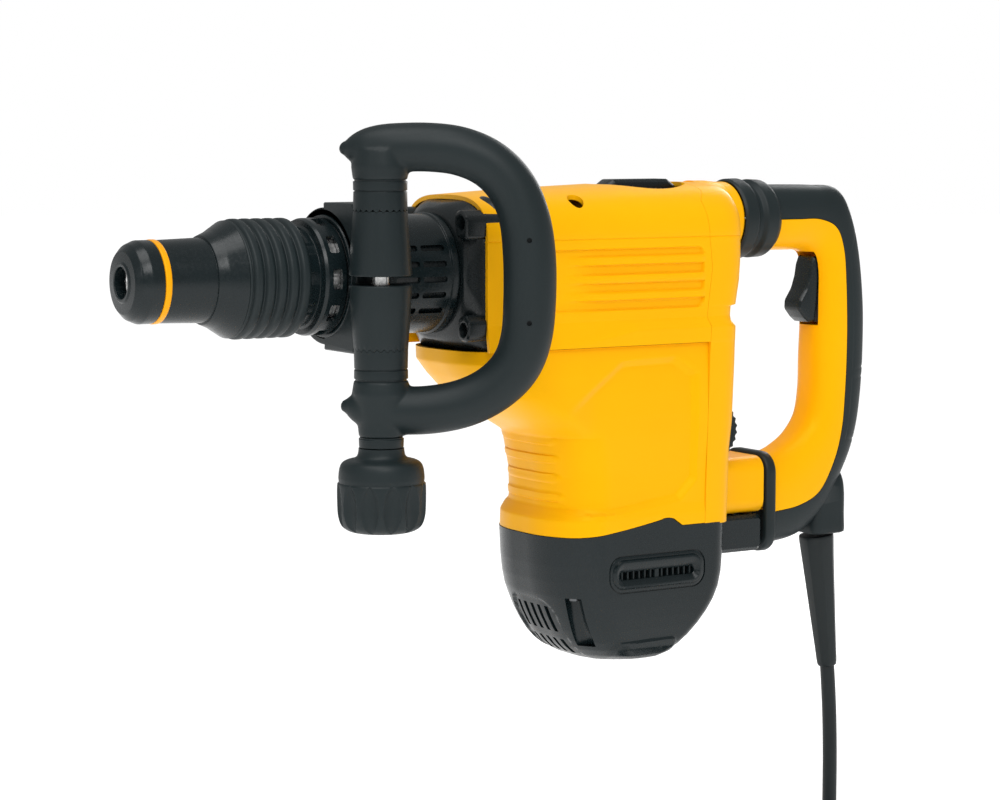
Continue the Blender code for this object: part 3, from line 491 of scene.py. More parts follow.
def build_tie():
    """A strap round the coil's bundle, where it faces away from the hammer's nose."""
    low, high = COIL_INNER - CORD_R - 0.4, COIL_OUTER + CORD_R + 0.4
    rings = []
    for inset, shift in ((0, -5), (0, 5), (1.1, 5), (1.1, -5)):
        outline = fillet(rect(low + inset, high - inset, FLOOR_Z + 0.1 + inset, -399.3 - inset, 7), 6)
        rings.append([(COIL_AT.x - p.x, COIL_AT.y + shift, p.y) for p in outline])
    strap = skin(rings, loop=True)
    buckle = moved(prism(rect(-64, -50, -9, 9, 2), -400.2, -396.6, "XY", bevel=0.8), (*COIL_AT, 0))
    finish_piece("cord_tie", merged(strap, buckle), RUBBER, "handle")


def build_plug():
    """A plain two-pin plug: oval body with grip ridges, a short sleeve, and two round pins."""
    stations = spline(((-24, 12.5, 7.2), (-23, 14.5, 8.2), (-19, 17.5, 8.5), (-8, 18.6, 8.5), (4, 17.2, 8.4),
                               (12, 12.5, 8.0), (20, 7.4, 7.2), (21, 6.6, 6.4)), 40)
    rings = []
    for x, half_y, half_z in stations:
        groove = 0.7 * max(0, math.cos((x + 2) * TAU / 4.4)) ** 3 * ramp(x, -9, -6) * (1 - ramp(x, 8, 11))
        ring = []
        for k in range(64):
            a = TAU * k / 64
            c, s = math.cos(a), math.sin(a)
            y = math.copysign(abs(c) ** 0.7, c) * (half_y - groove)
            z = math.copysign(abs(s) ** 0.7, s) * (half_z - 0.3 * groove)
            ring.append((COIL_AT.x + x, PLUG_Y + y, PLUG_Z + z))
        rings.append(ring)
    plug = finish_piece("plug_body", skin(rings), CORD_RUBBER, "handle", ("mains_plug",))
    pins = []
    for y in (-9.5, 9.5):
        pins.append(turned([(-42.6, 0), (-42.6, 1.6, 0.8), (-41, 2.4, 0.8), (-22, 2.4), (-22, 0)], "X",
                           (COIL_AT.x, PLUG_Y + y, PLUG_Z), 32))
    pins = finish_piece("plug_pins", merged(*pins), STEEL, "handle")
    pins.parent = plug
    return plug


def build_cord_sleeve():
    """Tapered bend relief: eight soft facets, with a collar where it leaves the handle."""
    start, end = Vector((244.1, 0, -180.2)), Vector((254.6, 0, -268.0))
    along = (end - start).normalized()
    side, across = Vector((0, 1, 0)), along.cross(Vector((0, 1, 0)))
    rings = []
    for t, radius, facet in spline([(0, 9.0, 0), (0.0, 11.2, 0.2), (0.05, 11.4, 0.6), (0.22, 10.4, 1),
                                    (0.55, 8.7, 1),
                                    (0.85, 7.2, 0.8), (0.96, 6.7, 0.4), (1.0, 6.0, 0), (1.0, 4.9, 0)], 60):
        t = min(1.0, max(0.0, t))
        ring = []
        for k in range(96):
            a = TAU * k / 96
            flat = math.cos(TAU / 16) / math.cos((a + TAU / 16) % (TAU / 8) - TAU / 16)
            r = radius * (1 + facet * 0.75 * (flat - 0.97))
            ring.append(start + along * ((end - start).length * t)
                        + (side * math.cos(a) + across * math.sin(a)) * r)
        rings.append(ring)
    finish_piece("bend_relief", skin(rings), CORD_RUBBER, "handle", ("cord_sleeve",), 40)


# ---------------------------------------------------------------- nose and locking sleeve

SLEEVE_FRONT, SLEEVE_STEP, SLEEVE_END = -228.7, -199.4, -145.2
RIDGES, RIDGE_PITCH = 5, 7.4


def build_nose():
    cap = turned([
        (-247.9, 9.0, 0.5), (-247.9, 10.9, 0.6), (-247.1, 11.7, 0.4), (-246.9, 17.8, 1.3),
        (-243.6, 21.4, 3.5),
        (-238.6, 23.5, 4), (-231.0, 23.5, 0.5), (-231.0, 19.4), (-241.4, 19.4), (-241.4, 9.0),
    ])
    finish_piece("nose_cap", cap, GLOSSY, "spindle", ("dust_cap",), 50)
    ring = turned([(-230.8, 19.4), (-230.8, 23.8, 0.9), (-226.9, 23.8, 0.9), (-226.9, 19.4)])
    finish_piece("band_ring", ring, ORANGE, "spindle", ("nose_ring",), 50)


def build_sleeve():
    sleeve = turned([
        (SLEEVE_FRONT, 19.5), (SLEEVE_FRONT, 23.3, 0.8), (SLEEVE_STEP, 24.2, 0.2), (SLEEVE_STEP, 25.3, 0.7),
        (-193.5, 27.8, 12), (-184.3, 33.5), (-184.3, 30.8), (SLEEVE_END, 30.8), (SLEEVE_END, 29.6),
        (-180.0, 29.6), (-195.0, 21.5), (-198.0, 19.5),
    ], seg=144)
    finish_piece("pull_sleeve", sleeve, GLOSSY, "sleeve", ("locking_sleeve",), 30)
    profile = [(-184.0, 31.1), (-184.0, 33.2, 0.5), (-182.2, 33.9, 1.0)]
    first = SLEEVE_END - RIDGES * RIDGE_PITCH
    for k in range(RIDGES):
        x = first + RIDGE_PITCH * k
        profile += [(x + 0.3, 31.8, 0.7), (x + 2.1, 34.4, 1.8), (x + RIDGE_PITCH - 1.6, 34.4, 1.8)]
    profile += [(SLEEVE_END, 32.6, 0.6), (SLEEVE_END, 31.1)]
    finish_piece("ribbed_grip", turned(profile, seg=144, steps=4), RUBBER, "sleeve",
                 ("sleeve_grip",), 40)


def build_index_collar():
    windows, ribs = 10, 10

    def neck(along, radius, angle):
        """Rectangular ribs round the glossy neck."""
        if -150 < along < -138.6 and radius > 28:
            share = (angle * ribs / TAU) % 1
            return radius + 0.7 * ramp(0.5 - abs(share - 0.5), 0.17, 0.2)
        return radius

    collar = turned([
        (-152.0, 27.2), (-152.0, 28.6, 0.4), (-149.5, 28.7), (-149.3, 28.7), (-139.2, 28.7),
        (-137.3, 28.7, 0.4),
        (-136.6, 30.0, 0.3), (-136.6, 33.2, 0.5), (-134.6, 34.0, 0.8), (-122.7, 34.0, 0.8), (-122.7, 31.4),
        (-134.4, 31.4), (-134.4, 27.2),
    ], seg=240, warp=neck)
    obj = finish_piece("detent_collar", collar, GLOSSY, "spindle", ("index_collar",))
    cutters = []
    for k in range(windows // 2):
        a = math.pi * (k + 0.5) / (windows // 2)
        bar = prism(rect(-131.9, -126.1, -5.8, 5.8, 1.2), -60, 60, "XY")
        bmesh.ops.transform(bar, matrix=Matrix.Rotation(a, 4, "X"), verts=bar.verts)
        cutters.append(cut(bar))
    bake(obj, cutters)

    def teeth(along, radius, angle):
        return radius - (0.7 if math.cos(24 * angle) > 0 and radius > 29 and along < -124 else 0)

    ring = turned([(-134.2, 28.0), (-134.2, 31.0, 0.3), (-123.0, 31.0, 0.3), (-123.0, 28.0)], seg=240,
                  warp=teeth)
    finish_piece("detent_ring", ring, STEEL, "spindle", ("index_ring",), 30)


# ---------------------------------------------------------------- barrel and gear case

BARREL_FRONT, BARREL_REAR, BARREL_R = -121.5, -49.5, 36.0
CASE_SCREWS = [(-40.0, 30.5), (40.0, 30.5), (-41.0, -31.5), (41.0, -31.5)]  # y and z


def build_barrel():
    cover = turned([
        (BARREL_FRONT, 33.2), (BARREL_FRONT, 35.4, 0.6), (-119.5, BARREL_R, 0.6), (-97.5, BARREL_R),
        (-95.5, BARREL_R, 0.8), (-94.3, 35.1, 0.5), (-54.6, 35.1, 0.5), (-53.8, BARREL_R, 0.5),
        (BARREL_REAR, BARREL_R, 0.6), (BARREL_REAR, 33.2),
    ], seg=180)
    obj = finish_piece("slotted_cover", cover, GLOSSY, "housing", ("barrel_cover",))
    cutters = []
    for k in range(5):
        z = 16.2 - 9.1 * k
        for x0, x1 in ((-91.5, -75.6), (-73.4, -57.5)):
            cutters.append(cut(prism(rect(x0, x1, z - 1.7, z + 1.7, 1.4), -60, 60)))
    bake(obj, cutters)


def box_ring(x, half, low, high, radius, per_corner=12, per_side=14):
    """Ring in the YZ plane of a box with circular corners, with extra points along its flats."""
    middle, tall = (low + high) / 2, (high - low) / 2
    radius = min(radius, half - 0.01, tall - 0.01)

    def spot(sy, sz, degrees):
        a = math.radians(degrees)
        return Vector((x, sy * (half - radius) + radius * math.cos(a),
                       middle + sz * (tall - radius) + radius * math.sin(a)))

    ring, corners = [], [(1, 1, 0), (-1, 1, 90), (-1, -1, 180), (1, -1, 270)]
    for i, (sy, sz, first) in enumerate(corners):
        ring += [spot(sy, sz, first + 90 * k / per_corner) for k in range(per_corner + 1)]
        here, goal = ring[-1], spot(*corners[(i + 1) % 4])
        ring += [here.lerp(goal, k / (per_side + 1)) for k in range(1, per_side + 1)]
    return ring


def build_gear_case():
    case = turned([(BARREL_FRONT, 24.6), (BARREL_FRONT, 32.6, 0.5), (-44, 32.6), (-44, 24.6)], seg=96)
    obj = finish_piece("hammer_case", case, CASTING, "housing", ("gear_case",))
    stations = spline([
        (-49.2, 37.6, -37.6, 37.6, 37.5), (-48.4, 38.8, -39.2, 38.8, 37.0), (-44.5, 40.2, -42.0, 41.2, 32.0),
        (-38.5, 42.6, -46.4, 43.0, 26.0), (-33.5, 45.0, -50.6, 44.4, 22.0), (-27.6, 46.4, -53.5, 45.6, 20.0),
    ], 22)
    flare = skin([box_ring(*row) for row in stations])
    body = prism(rect(-43.9, 43.9, -42.5, 28, 12), -28.5, 108, "YZ", 8)
    steps = [join(flare), join(body)]
    boss = [(33.5, 22.5, 3), (46.0, 20.5, 3), (46.4, 34.0, 5), (38.5, 38.5, 5), (31.5, 36.5, 4)]
    foot = [(34.5, -38.5, 4), (46.2, -38.5, 5), (47.0, -27.0, 4), (42.0, -22.5, 4), (34.5, -25.0, 3)]
    for side in (-1, 1):
        for outline, front in ((boss, -51.5), (foot, -50.5)):
            steps.append(join(prism([(side * y, z, r) for y, z, r in outline], front, -28, "YZ", 5, 1.2)))
    steps += [cut(barrel(-150, -20, 24.6)), cut(box((-24, -41.4, -60), (93, 41.4, 25.2)))]
    steps += [cut(barrel(-60, -38, 4.5, at=(0, y, z), seg=48)) for y, z in CASE_SCREWS]
    bake(obj, steps, bevel=0.6, segments=2, bevel_angle=40)

    def socket(along, radius, angle):
        return radius if radius > 2.6 else radius * (0.86 + 0.14 * math.cos(6 * angle))

    screw = [(-44.6, 0), (-44.6, 2.2), (-46.4, 2.3), (-46.4, 3.5, 0.3), (-46.0, 3.9, 0.3), (-38.3, 3.9),
             (-38.3, 0)]
    screws = [turned(screw, "X", (0, y, z), 48, warp=socket) for y, z in CASE_SCREWS]
    names = tuple(f"case_screw_{k}" for k in (1, 2, 3, 4))
    finish_piece("socket_screws", merged(*screws), DARK_STEEL, "housing", names, 40)


# ---------------------------------------------------------------- side handle

BOLT_X, BOLT_Y = -111.6, -52.0
BOLT_AT = (BOLT_X, BOLT_Y, 0)
LOOP_SWING = math.radians(32)
TEETH, TOOTH_Z, TOOTH_H = 24, 39.15, 0.9


def tooth_height(x, y):
    """Zigzag of the toothed joints, about their middle plane."""
    share = (TEETH * math.atan2(y, x) / TAU) % 1
    return TOOTH_H * (4 * abs(share - 0.5) - 1) * math.hypot(x, y) / 15.5


def add_teeth(bm, level):
    """Lifts the points near the level, on the bolt's own axis, into the zigzag."""
    for vert in bm.verts:
        if abs(vert.co.z - level) < 0.01:
            vert.co.z += tooth_height(vert.co.x, vert.co.y)


def mirrored(bm, sign):
    """The same shape for the upper jaw (1), or turned over for the lower one (-1)."""
    for vert in bm.verts:
        vert.co.z *= sign
    return bm


def build_clamp():
    for sign, name in ((1, "clamp_jaw_upper"), (-1, "clamp_jaw_lower")):
        top = TOOTH_Z - 0.15
        post = turned([(2.6, 5.6), (2.6, 17.9, 0.8), (20, 16.9), (35.5, 15.7), (top, 15.4), (top, 5.6)],
                      "Z", seg=192)
        add_teeth(post, top)
        obj = finish_piece(name, mirrored(moved(post, BOLT_AT), sign), BLACK, "clamp",
                           ("clamp_upper" if sign > 0 else "clamp_lower",))
        collar = turned([(-120.6, 36.4), (-120.6, 39.8, 1.0), (-97.2, 39.8, 1.0), (-97.2, 36.4)], seg=160)
        flank = prism([(-52, 2.6), (-3, 2.6), (0, 42.8), (-36, 42.8, 3), (-37.0, 38.0, 1), (-52, 36)],
                      -120.6, -97.2,
                      "YZ", 6, 1.2)
        hub_room = barrel(39.0, 60, 16.2, "Z", BOLT_AT)
        gap = box((-140, -90, -60), (-80, 60, 2.6))
        barrel_room, bolt_hole = barrel(-140, -80, 36.4, seg=160), barrel(-20, 60, 5.6, "Z", BOLT_AT, 48)
        shapes = ((join, collar), (join, flank), (cut, hub_room), (cut, barrel_room), (cut, gap),
                  (cut, bolt_hole))
        bake(obj, [act(mirrored(bm, sign)) for act, bm in shapes], bevel=0.5, segments=2, bevel_angle=50)
    bolt = turned([(-136, 0), (-136, 4.2), (-135.3, 4.9), (61, 4.9), (61, 0)], "Z", BOLT_AT, 64)
    hexagon = [(8.5 * math.cos(k * TAU / 6), 8.5 * math.sin(k * TAU / 6)) for k in range(6)]
    head = prism(hexagon, 54, 61, "XY", bevel=0.6)
    finish_piece("clamp_screw", merged(bolt, moved(head, BOLT_AT)), STEEL, "clamp", ("clamp_bolt",))


LOOP_LINE = [  # (out, up, tube radius) along the loop, from the upper horn to the lower one
    (-19.8, 74.4, 4.0), (-17.6, 74.2, 6.4), (-13.0, 74.1, 9.4), (-6.0, 74.2, 12.0), (6.0, 74.6, 13.6),
    (28.0, 74.8, 13.8), (46.0, 72.3, 13.8), (62.0, 65.0, 13.8), (74.0, 52.5, 14.0), (81.0, 36.0, 14.4),
    (84.0, 15.0, 15.0), (84.3, -10.0, 15.0), (82.5, -32.0, 14.6), (76.5, -48.5, 14.2), (64.5, -61.0, 13.8),
    (48.0, -69.5, 13.8), (28.0, -73.6, 13.8), (6.0, -74.0, 13.6), (-6.0, -73.0, 12.0), (-13.0, -72.2, 9.4),
    (-17.6, -71.6, 6.4), (-19.8, -71.4, 4.0),
]


def swing(u, z):
    """A point of the loop's plane: u outwards from the bolt, z up."""
    return Vector((BOLT_X + u * math.cos(LOOP_SWING), BOLT_Y - u * math.sin(LOOP_SWING), z))


def build_loop():
    line = spline(LOOP_LINE, 150)
    across = Vector((math.sin(LOOP_SWING), math.cos(LOOP_SWING), 0))
    rings = []
    for i, (u, z, radius) in enumerate(line):
        along = (swing(*line[min(i + 1, len(line) - 1)][:2]) - swing(*line[max(i - 1, 0)][:2])).normalized()
        up = along.cross(across)
        rings.append([swing(u, z) + (across * math.cos(TAU * k / 56) + up * math.sin(TAU * k / 56)) * radius
                      for k in range(56)])
    tips, push = [], swing(0, 0) - swing(1, 0)
    for ring in (rings[0], rings[-1]):
        middle = sum(ring, Vector()) / len(ring)
        tips.append([[middle + (p - middle) * math.cos(a) + push * 3.4 * math.sin(a) for p in ring]
                     for a in (0.5, 1.0, 1.4)])
    rings = tips[0][::-1] + rings + tips[1]
    upper = turned([(56.5, 8), (56.5, 15.4, 0.8), (64, 16.4), (74, 15), (74, 8)], "Z", BOLT_AT, 96)
    lower = turned([(-56.5, 8), (-56.5, 15.4, 0.8), (-64, 16.6), (-73, 15.2), (-82, 13.4), (-89.0, 12.8, 0.5),
                    (-89.0, 8)], "Z", BOLT_AT, 96)
    obj = finish_piece("loop_handle", skin(rings), RUBBER, "side_handle", ("loop_grip",))
    bake(obj, [join(upper), join(lower)])
    remesh = obj.modifiers.new("remesh", "REMESH")
    remesh.mode, remesh.voxel_size = "VOXEL", 0.95 * MM
    soften = obj.modifiers.new("soften", "SMOOTH")
    soften.factor, soften.iterations = 0.5, 8
    bake(obj, [])
    steps = [cut(barrel(-100, 64, 9.4, "Z", BOLT_AT, 64))]
    facing = -across
    turn = Vector((0, 0, 1)).rotation_difference(facing).to_matrix().to_4x4()
    for z in (23.0, -23.5):
        pin = barrel(-3, 20, 1.5, "Z", seg=32)
        bmesh.ops.transform(pin, matrix=turn, verts=pin.verts)
        steps.append(cut(moved(pin, swing(84, z) + facing * 15)))
    bake(obj, steps, angle=40)
    build_hubs()


def build_hubs():
    """The hard collars of the loop: toothed towards the jaws, with two grooves, and a ring above the knob."""
    parts = []
    for sign in (1, -1):
        foot = TOOTH_Z + 0.15
        profile = [(foot, 9.4), (foot, 15.4), (41.5, 15.4), (50.0, 15.2, 0.3), (50.0, 14.6, 0.2),
                   (50.7, 14.6, 0.2),
                   (50.7, 15.3, 0.3), (55.8, 15.4, 0.3), (55.8, 14.6), (56.8, 14.6), (56.8, 9.4)]
        hub = turned(profile, "Z", seg=192)
        add_teeth(hub, foot)
        parts.append(mirrored(moved(hub, BOLT_AT), sign))
    parts.append(turned([(-89.1, 9.4), (-89.1, 12.3), (-89.9, 12.3, 0.2), (-89.9, 12.9, 0.4),
                         (-95.0, 12.7, 0.5),
                         (-95.0, 9.4)], "Z", BOLT_AT, 96))
    finish_piece("loop_hubs", merged(*parts), BLACK, "side_handle", (), 40)


def build_knob():
    flutes = 12

    def grip(along, radius, angle):
        share = min(1, max(0, (along + 142.5) / 27.5))
        lens = (4 * share * (1 - share)) ** 0.6
        off = abs(((angle * flutes / TAU) % 1) - 0.5) * 2
        if lens <= 0 or radius < 15:
            return radius
        width = 0.80 * lens
        return radius - 2.6 * lens**0.7 * max(0.0, 1 - (off / width) ** 2) ** 0.8

    rows = [(-143.6, 0), (-143.6, 10.0), (-143.2, 16.5), (-141.8, 20.6), (-139.0, 23.4), (-134.0, 24.9),
            (-128.0, 25.3),
            (-120.0, 25.4), (-115.6, 25.2), (-115.0, 24.4), (-112.0, 24.6), (-107.0, 24.0), (-104.0, 22.6),
            (-102.4, 20.0), (-101.4, 16.2), (-100.0, 14.0), (-97.5, 13.2), (-95.4, 13.0)]
    outside = [tuple(p) for p in spline([(z, max(r, 0.01)) for z, r in rows], 110)]
    outside[0] = (-143.6, 0)
    knob = turned(outside + [(-95.4, 6.0), (-138.0, 6.0), (-138.0, 0)], "Z", BOLT_AT, 288, warp=grip,
                  round_off=False)
    finish_piece("clamp_knob", knob, RUBBER, "knob", ("side_knob",), 35)


# ---------------------------------------------------------------- housing shells

HALF = 50.0
WALL = 2.6
SEAM_Z, SEAM_GAP = -45.0, 0.12
LID_Z = 19.6
SELECTOR_AT = (98.0, 0, 0)
DIAL_X, DIAL_Y, DIAL_Z, DIAL_R = 132.6, -34.0, -101.5, 19.0
PIVOT_X, PIVOT_Z = 188.5, -150.0
ARM_Z = 28.0
ARM_AT = (0, 0, ARM_Z)


def levels(low, high, spacing, *lines):
    """Even levels from low to high, with extra ones where a crisp line runs."""
    count = round((high - low) / spacing)
    found = [low + (high - low) * k / count for k in range(count + 1)]
    for line in lines:
        found = [v for v in found if abs(v - line) > 0.45 or v in (low, high)]
        found += [line + d for d in (-0.45, -0.15, 0.15, 0.45) if low < line + d < high]
    return sorted(found)


def inside_box(x, z, low, high, radius, soft=0.45):
    """1 inside a rounded rectangle, 0 outside, with a soft rim."""
    cx, cz = (low[0] + high[0]) / 2, (low[1] + high[1]) / 2
    dx = abs(x - cx) - (high[0] - low[0]) / 2 + radius
    dz = abs(z - cz) - (high[1] - low[1]) / 2 + radius
    distance = math.hypot(max(dx, 0), max(dz, 0)) + min(max(dx, dz), 0) - radius
    return 1 - ramp(distance, -soft, soft)


def inside_polygon(x, z, corners, slope):
    """Signed depth inside a convex polygon that runs anticlockwise, as 0 at its rim to 1 `slope` inside."""
    least = 1e9
    for (ax, az), (bx, bz) in zip(corners, corners[1:] + corners[:1]):
        length = math.hypot(bx - ax, bz - az)
        least = min(least, ((bx - ax) * (z - az) - (bz - az) * (x - ax)) / length)
    return min(1.0, max(0.0, least / slope))


def averaged(row, reach):
    """Directions smoothed along a row, so that a wall's inner side doesn't cross itself under a step."""
    last, out = len(row) - 1, []
    for i in range(last + 1):
        total = Vector()
        for j in range(i - reach, i + reach + 1):
            total += row[min(last, max(0, j))]
        out.append(total.normalized())
    return out


def shell(rings, inside):
    """A surface through open rings of points, thickened towards the point `inside(co)`."""
    bm = bmesh.new()
    outer = [[bm.verts.new(p) for p in ring] for ring in rings]
    count = len(outer[0])
    for one, two in zip(outer, outer[1:]):
        for k in range(1, count):
            bm.faces.new((one[k - 1], one[k], two[k], two[k - 1]))
    bm.normal_update()
    rows = [averaged([v.normal if v.normal.dot(Vector(inside(v.co)) - v.co) > 0 else -v.normal
                      for v in ring], 7)
            for ring in outer]
    rows = zip(*[averaged(column, 7) for column in zip(*rows)])
    inner = [[bm.verts.new(v.co + n * WALL) for v, n in zip(ring, row)] for ring, row in zip(outer, rows)]
    for one, two in zip(inner, inner[1:]):
        for k in range(1, count):
            bm.faces.new((one[k - 1], two[k - 1], two[k], one[k]))
    for a, b in ((outer[0], inner[0]), (outer[-1], inner[-1])):
        for k in range(1, count):
            bm.faces.new((a[k - 1], a[k], b[k], b[k - 1]))
    for k in (0, count - 1):
        for (a, b), (c, d) in zip(zip(outer, inner), zip(outer[1:], inner[1:])):
            bm.faces.new((a[k], c[k], d[k], b[k]))
    return bm


BOTTOM_POINTS = 19  # points across the open lower side of each of the back cover's rings


def bowl(rings, shrink, strips=False):
    """A thick-walled bowl: closed rings from rim to floor, and the same rings moved inwards by `shrink`."""
    bm = bmesh.new()
    outer = [[bm.verts.new(p) for p in ring] for ring in rings]
    inner = [[bm.verts.new(shrink(p)) for p in ring] for ring in rings]
    count = len(outer[0])
    for side in (outer, inner):
        for one, two in zip(side, side[1:]):
            for k in range(count):
                bm.faces.new((one[k - 1], one[k], two[k], two[k - 1]))
        floor = side[-1]
        if strips:
            last = count - BOTTOM_POINTS - 1
            bm.faces.new([floor[0], floor[1], *floor[last - 1:]])
            for k in range(1, last // 2):
                bm.faces.new([floor[c] for c in dict.fromkeys((k, k + 1, last - k - 1, last - k))])
        else:
            middle = bm.verts.new(sum((v.co for v in floor), Vector()) / count)
            for k in range(count):
                bm.faces.new((floor[k - 1], floor[k], middle))
    for k in range(count):
        bm.faces.new((outer[0][k - 1], outer[0][k], inner[0][k], inner[0][k - 1]))
    return bm


def at_height(rows, height):
    """Linear reading of rows of (height, values...) given from the top down."""
    if height >= rows[0][0]:
        return rows[0][1:]
    for upper, lower in zip(rows, rows[1:]):
        if height >= lower[0]:
            t = (upper[0] - height) / (upper[0] - lower[0])
            return tuple(a + (b - a) * t for a, b in zip(upper[1:], lower[1:]))
    return rows[-1][1:]


REAR_SEAM = [(60.0, 122.9), (51.9, 122.9), (46.4, 124.3), (39.2, 118.6), (20.4, 121.1), (1.0, 123.4),
             (-29.8, 119.6),
             (-35.0, 121.2), (-50.0, 120.6), (-100.0, 119.0), (-160.0, 117.4)]


def rear_seam(z):
    return at_height(REAR_SEAM, z)[0]


def upper_side(x, z):
    """Half width of the upper housing's flat side: panel with three ribs, and the sloped step below."""
    if z < SEAM_Z:
        return HALF
    panel = inside_box(x, z, (2.0, -23.2), (117.0, 13.4), 5)
    depth = 1.9 * panel
    for middle in (6.1, -4.7, -15.2):
        rib = 1 - ramp(abs(z - middle - 0.2), 1.9, 2.9)
        depth -= 2.3 * rib * panel * ramp(x, 14, 44)
    foot = at_height([(-11.4, -44.5), (-34.4, -42.1), (-56.6, -37.6), (-65.8, -35.4), (-200, -35.4)], -x)[0]
    slope = min(1.0, max(0.0, (-29.6 - z) / (-29.6 - foot)))
    line = 0.45 * (1 - ramp(abs(z - LID_Z), 0.1, 0.4))
    return HALF - 2.2 + 2.4 * slope - depth - line


def read_off(x, points):
    """Linear reading of a table of (x, value)."""
    for (ax, av), (bx, bv) in zip(points, points[1:]):
        if x <= bx:
            t = min(1, max(0, (x - ax) / (bx - ax)))
            return av + (bv - av) * t
    return points[-1][1]


def top_height(x):
    return read_off(x, [(-40, 46.0), (-27.3, 46.8), (10.0, 49.0), (70.0, 51.3), (120.0, 52.0), (152, 52.0)])


def upper_section(x_of, low_levels):
    """YZ section from the lower left edge over the top to the lower right edge; x_of(z) gives x."""
    left = []
    for z in low_levels:
        x = x_of(z)
        left.append(Vector((x, -upper_side(x, z), z)))
    for k in range(1, 49):
        a = math.pi / 2 * k / 48
        x = x_of(LID_Z + 32 * math.sin(a))
        top = top_height(x)
        y = math.cos(a) ** 0.62 * (HALF - 2.0) if k < 48 else 0.0
        z = LID_Z + (top - LID_Z) * math.sin(a) ** 0.8
        left.append(Vector((x, -y, z)))
    return left + [Vector((p.x, -p.y, p.z)) for p in left[-2::-1]]


def build_upper_housing():
    low = levels(SEAM_Z + 0.15, LID_Z, 0.85, 13.4, -23.2, -29.6) + [LID_Z + 0.4]
    start = -38.0
    rings = []
    for t in levels(0, 1, 0.007):
        rings.append(upper_section(lambda z, t=t: start + (rear_seam(z) - SEAM_GAP - start) * t, low))
    obj = finish_piece("top_housing", shell(rings, lambda co: (co.x, 0, -10)), YELLOW, "housing",
                       ("upper_housing",))
    pocket = turned([(40.4, 0), (40.4, 27.6, 1.5), (46.0, 29.0), (48.0, 30.2), (60.0, 34.0), (60, 0)], "Z",
                    SELECTOR_AT, 128)
    floor = turned([(38.6, 6.4), (38.6, 31.0), (41.2, 31.0, 0.3), (41.2, 6.4)], "Z", SELECTOR_AT, 128)
    wells = [cut(barrel(20, 70, 5.0, "Z", (29, y, 0), 48)) for y in (-38, 38)]
    bake(obj, [cut(pocket), join(floor), *wells], angle=30)


def build_selector():
    disc = turned([(41.9, 0), (41.9, 26.4, 0.6), (46.6, 27.2, 1.6), (48.2, 25.0, 1.5), (48.6, 12),
                   (48.6, 0)], "Z",
                  SELECTOR_AT, 128)
    obj = finish_piece("mode_knob", disc, GLOSSY, "selector", ("mode_selector",))
    bar = prism([(-26.5, 46), (-26.5, 49.5, 2), (-20, 54.0, 4), (20, 54.0, 4), (26.5, 49.5, 2), (26.5, 46)],
                -8.0, 8.0,
                "XZ", 5, 2.0)
    stem = barrel(28.5, 43, 6.0, "Z", SELECTOR_AT, 48)
    bake(obj, [join(moved(bar, SELECTOR_AT)), join(stem)], bevel=0.5, segments=2, bevel_angle=40)


HOUSING_TOP, HOUSING_LOW, HOUSING_REAR = -45.3, -166.0, 119.8
HOUSING_FRONT = [  # height, front, half width
    (-45.4, -47.0, 47.5), (-53.0, -46.5, 48.0), (-62.0, -39.0, 48.8), (-74.0, -27.0, 49.5),
    (-88.0, -5.0, 50.0),
    (-100.0, 15.0, 50.0), (-124.0, 19.0, 49.2), (-143.0, 19.5, 49.2), (-150.0, 14.5, 50.0),
    (-162.0, 14.0, 50.0),
]


def cap_line(x):
    """Height of the seam between the motor housing and its cap."""
    if x < 86:
        return -160 + 8.6 * max(0.0, (x - 25) / 64) ** 1.35
    if x < 94:
        return -151.6 - 0.4 * ((x - 90) / 4) ** 2 + 0.4
    return max(-156.5, -151.6 - 5.5 * (x - 94) / 8)


def corner_plan(front, rear, half, back):
    """Left half of a plan, from the middle of the front round its wide corner to the rear."""
    long, wide = 31.0, half * 0.84
    arc = [Vector((front + long - long * math.cos(a), wide - half - wide * math.sin(a)))
           for a in (math.pi / 2 * k / 42 for k in range(43))]
    nose = [Vector((front, (wide - half) * k / 18)) for k in range(18)]
    side = [arc[-1].lerp(Vector((rear - back, -half)), k / 86) for k in range(1, 87)]
    tail = [Vector((rear - back + back * math.sin(a), back - half - back * math.cos(a)))
            for a in (math.pi / 2 * k / 14 for k in range(1, 15))] if back else []
    return nose + arc + side + tail


def housing_plan(front, rear, half):
    """U-shaped plan from the rear left edge round the front to the rear right edge."""
    left = corner_plan(front, rear, half, 0)
    return left[::-1] + [Vector((p.x, -p.y)) for p in left[1:]]


OCTAGON = [(36.0, -149.5), (99.0, -141.5), (111.8, -129.0), (112.4, -63.7), (95.8, -52.8), (56.8, -54.0),
           (16.0, -83.0), (12.0, -140.0)]
BARS, BAR_TOP, BAR_PITCH, BAR_R = 4, -102.0, 11.6, 2.6


def motor_relief(x, z):
    """How far the motor housing's surface lies inside its plain section."""
    if z > -146.6 or x > 60:
        sunk = 2.6 * inside_polygon(x, z, OCTAGON, 4.0) * ramp(x, 12, 40)
    else:
        sunk = 0
    raised = 0.0
    if x < 40:
        for k in range(BARS):
            middle, end = BAR_TOP - BAR_PITCH * k, 20.5 + 1.6 * k
            reach = max(0.0, x - end + BAR_R)
            distance = math.hypot(reach, max(0.0, abs(z - middle) - 0.01)) - BAR_R
            raised = max(raised, 0.9 * (1 - ramp(distance, -0.3, 0.3)))
    return sunk - raised


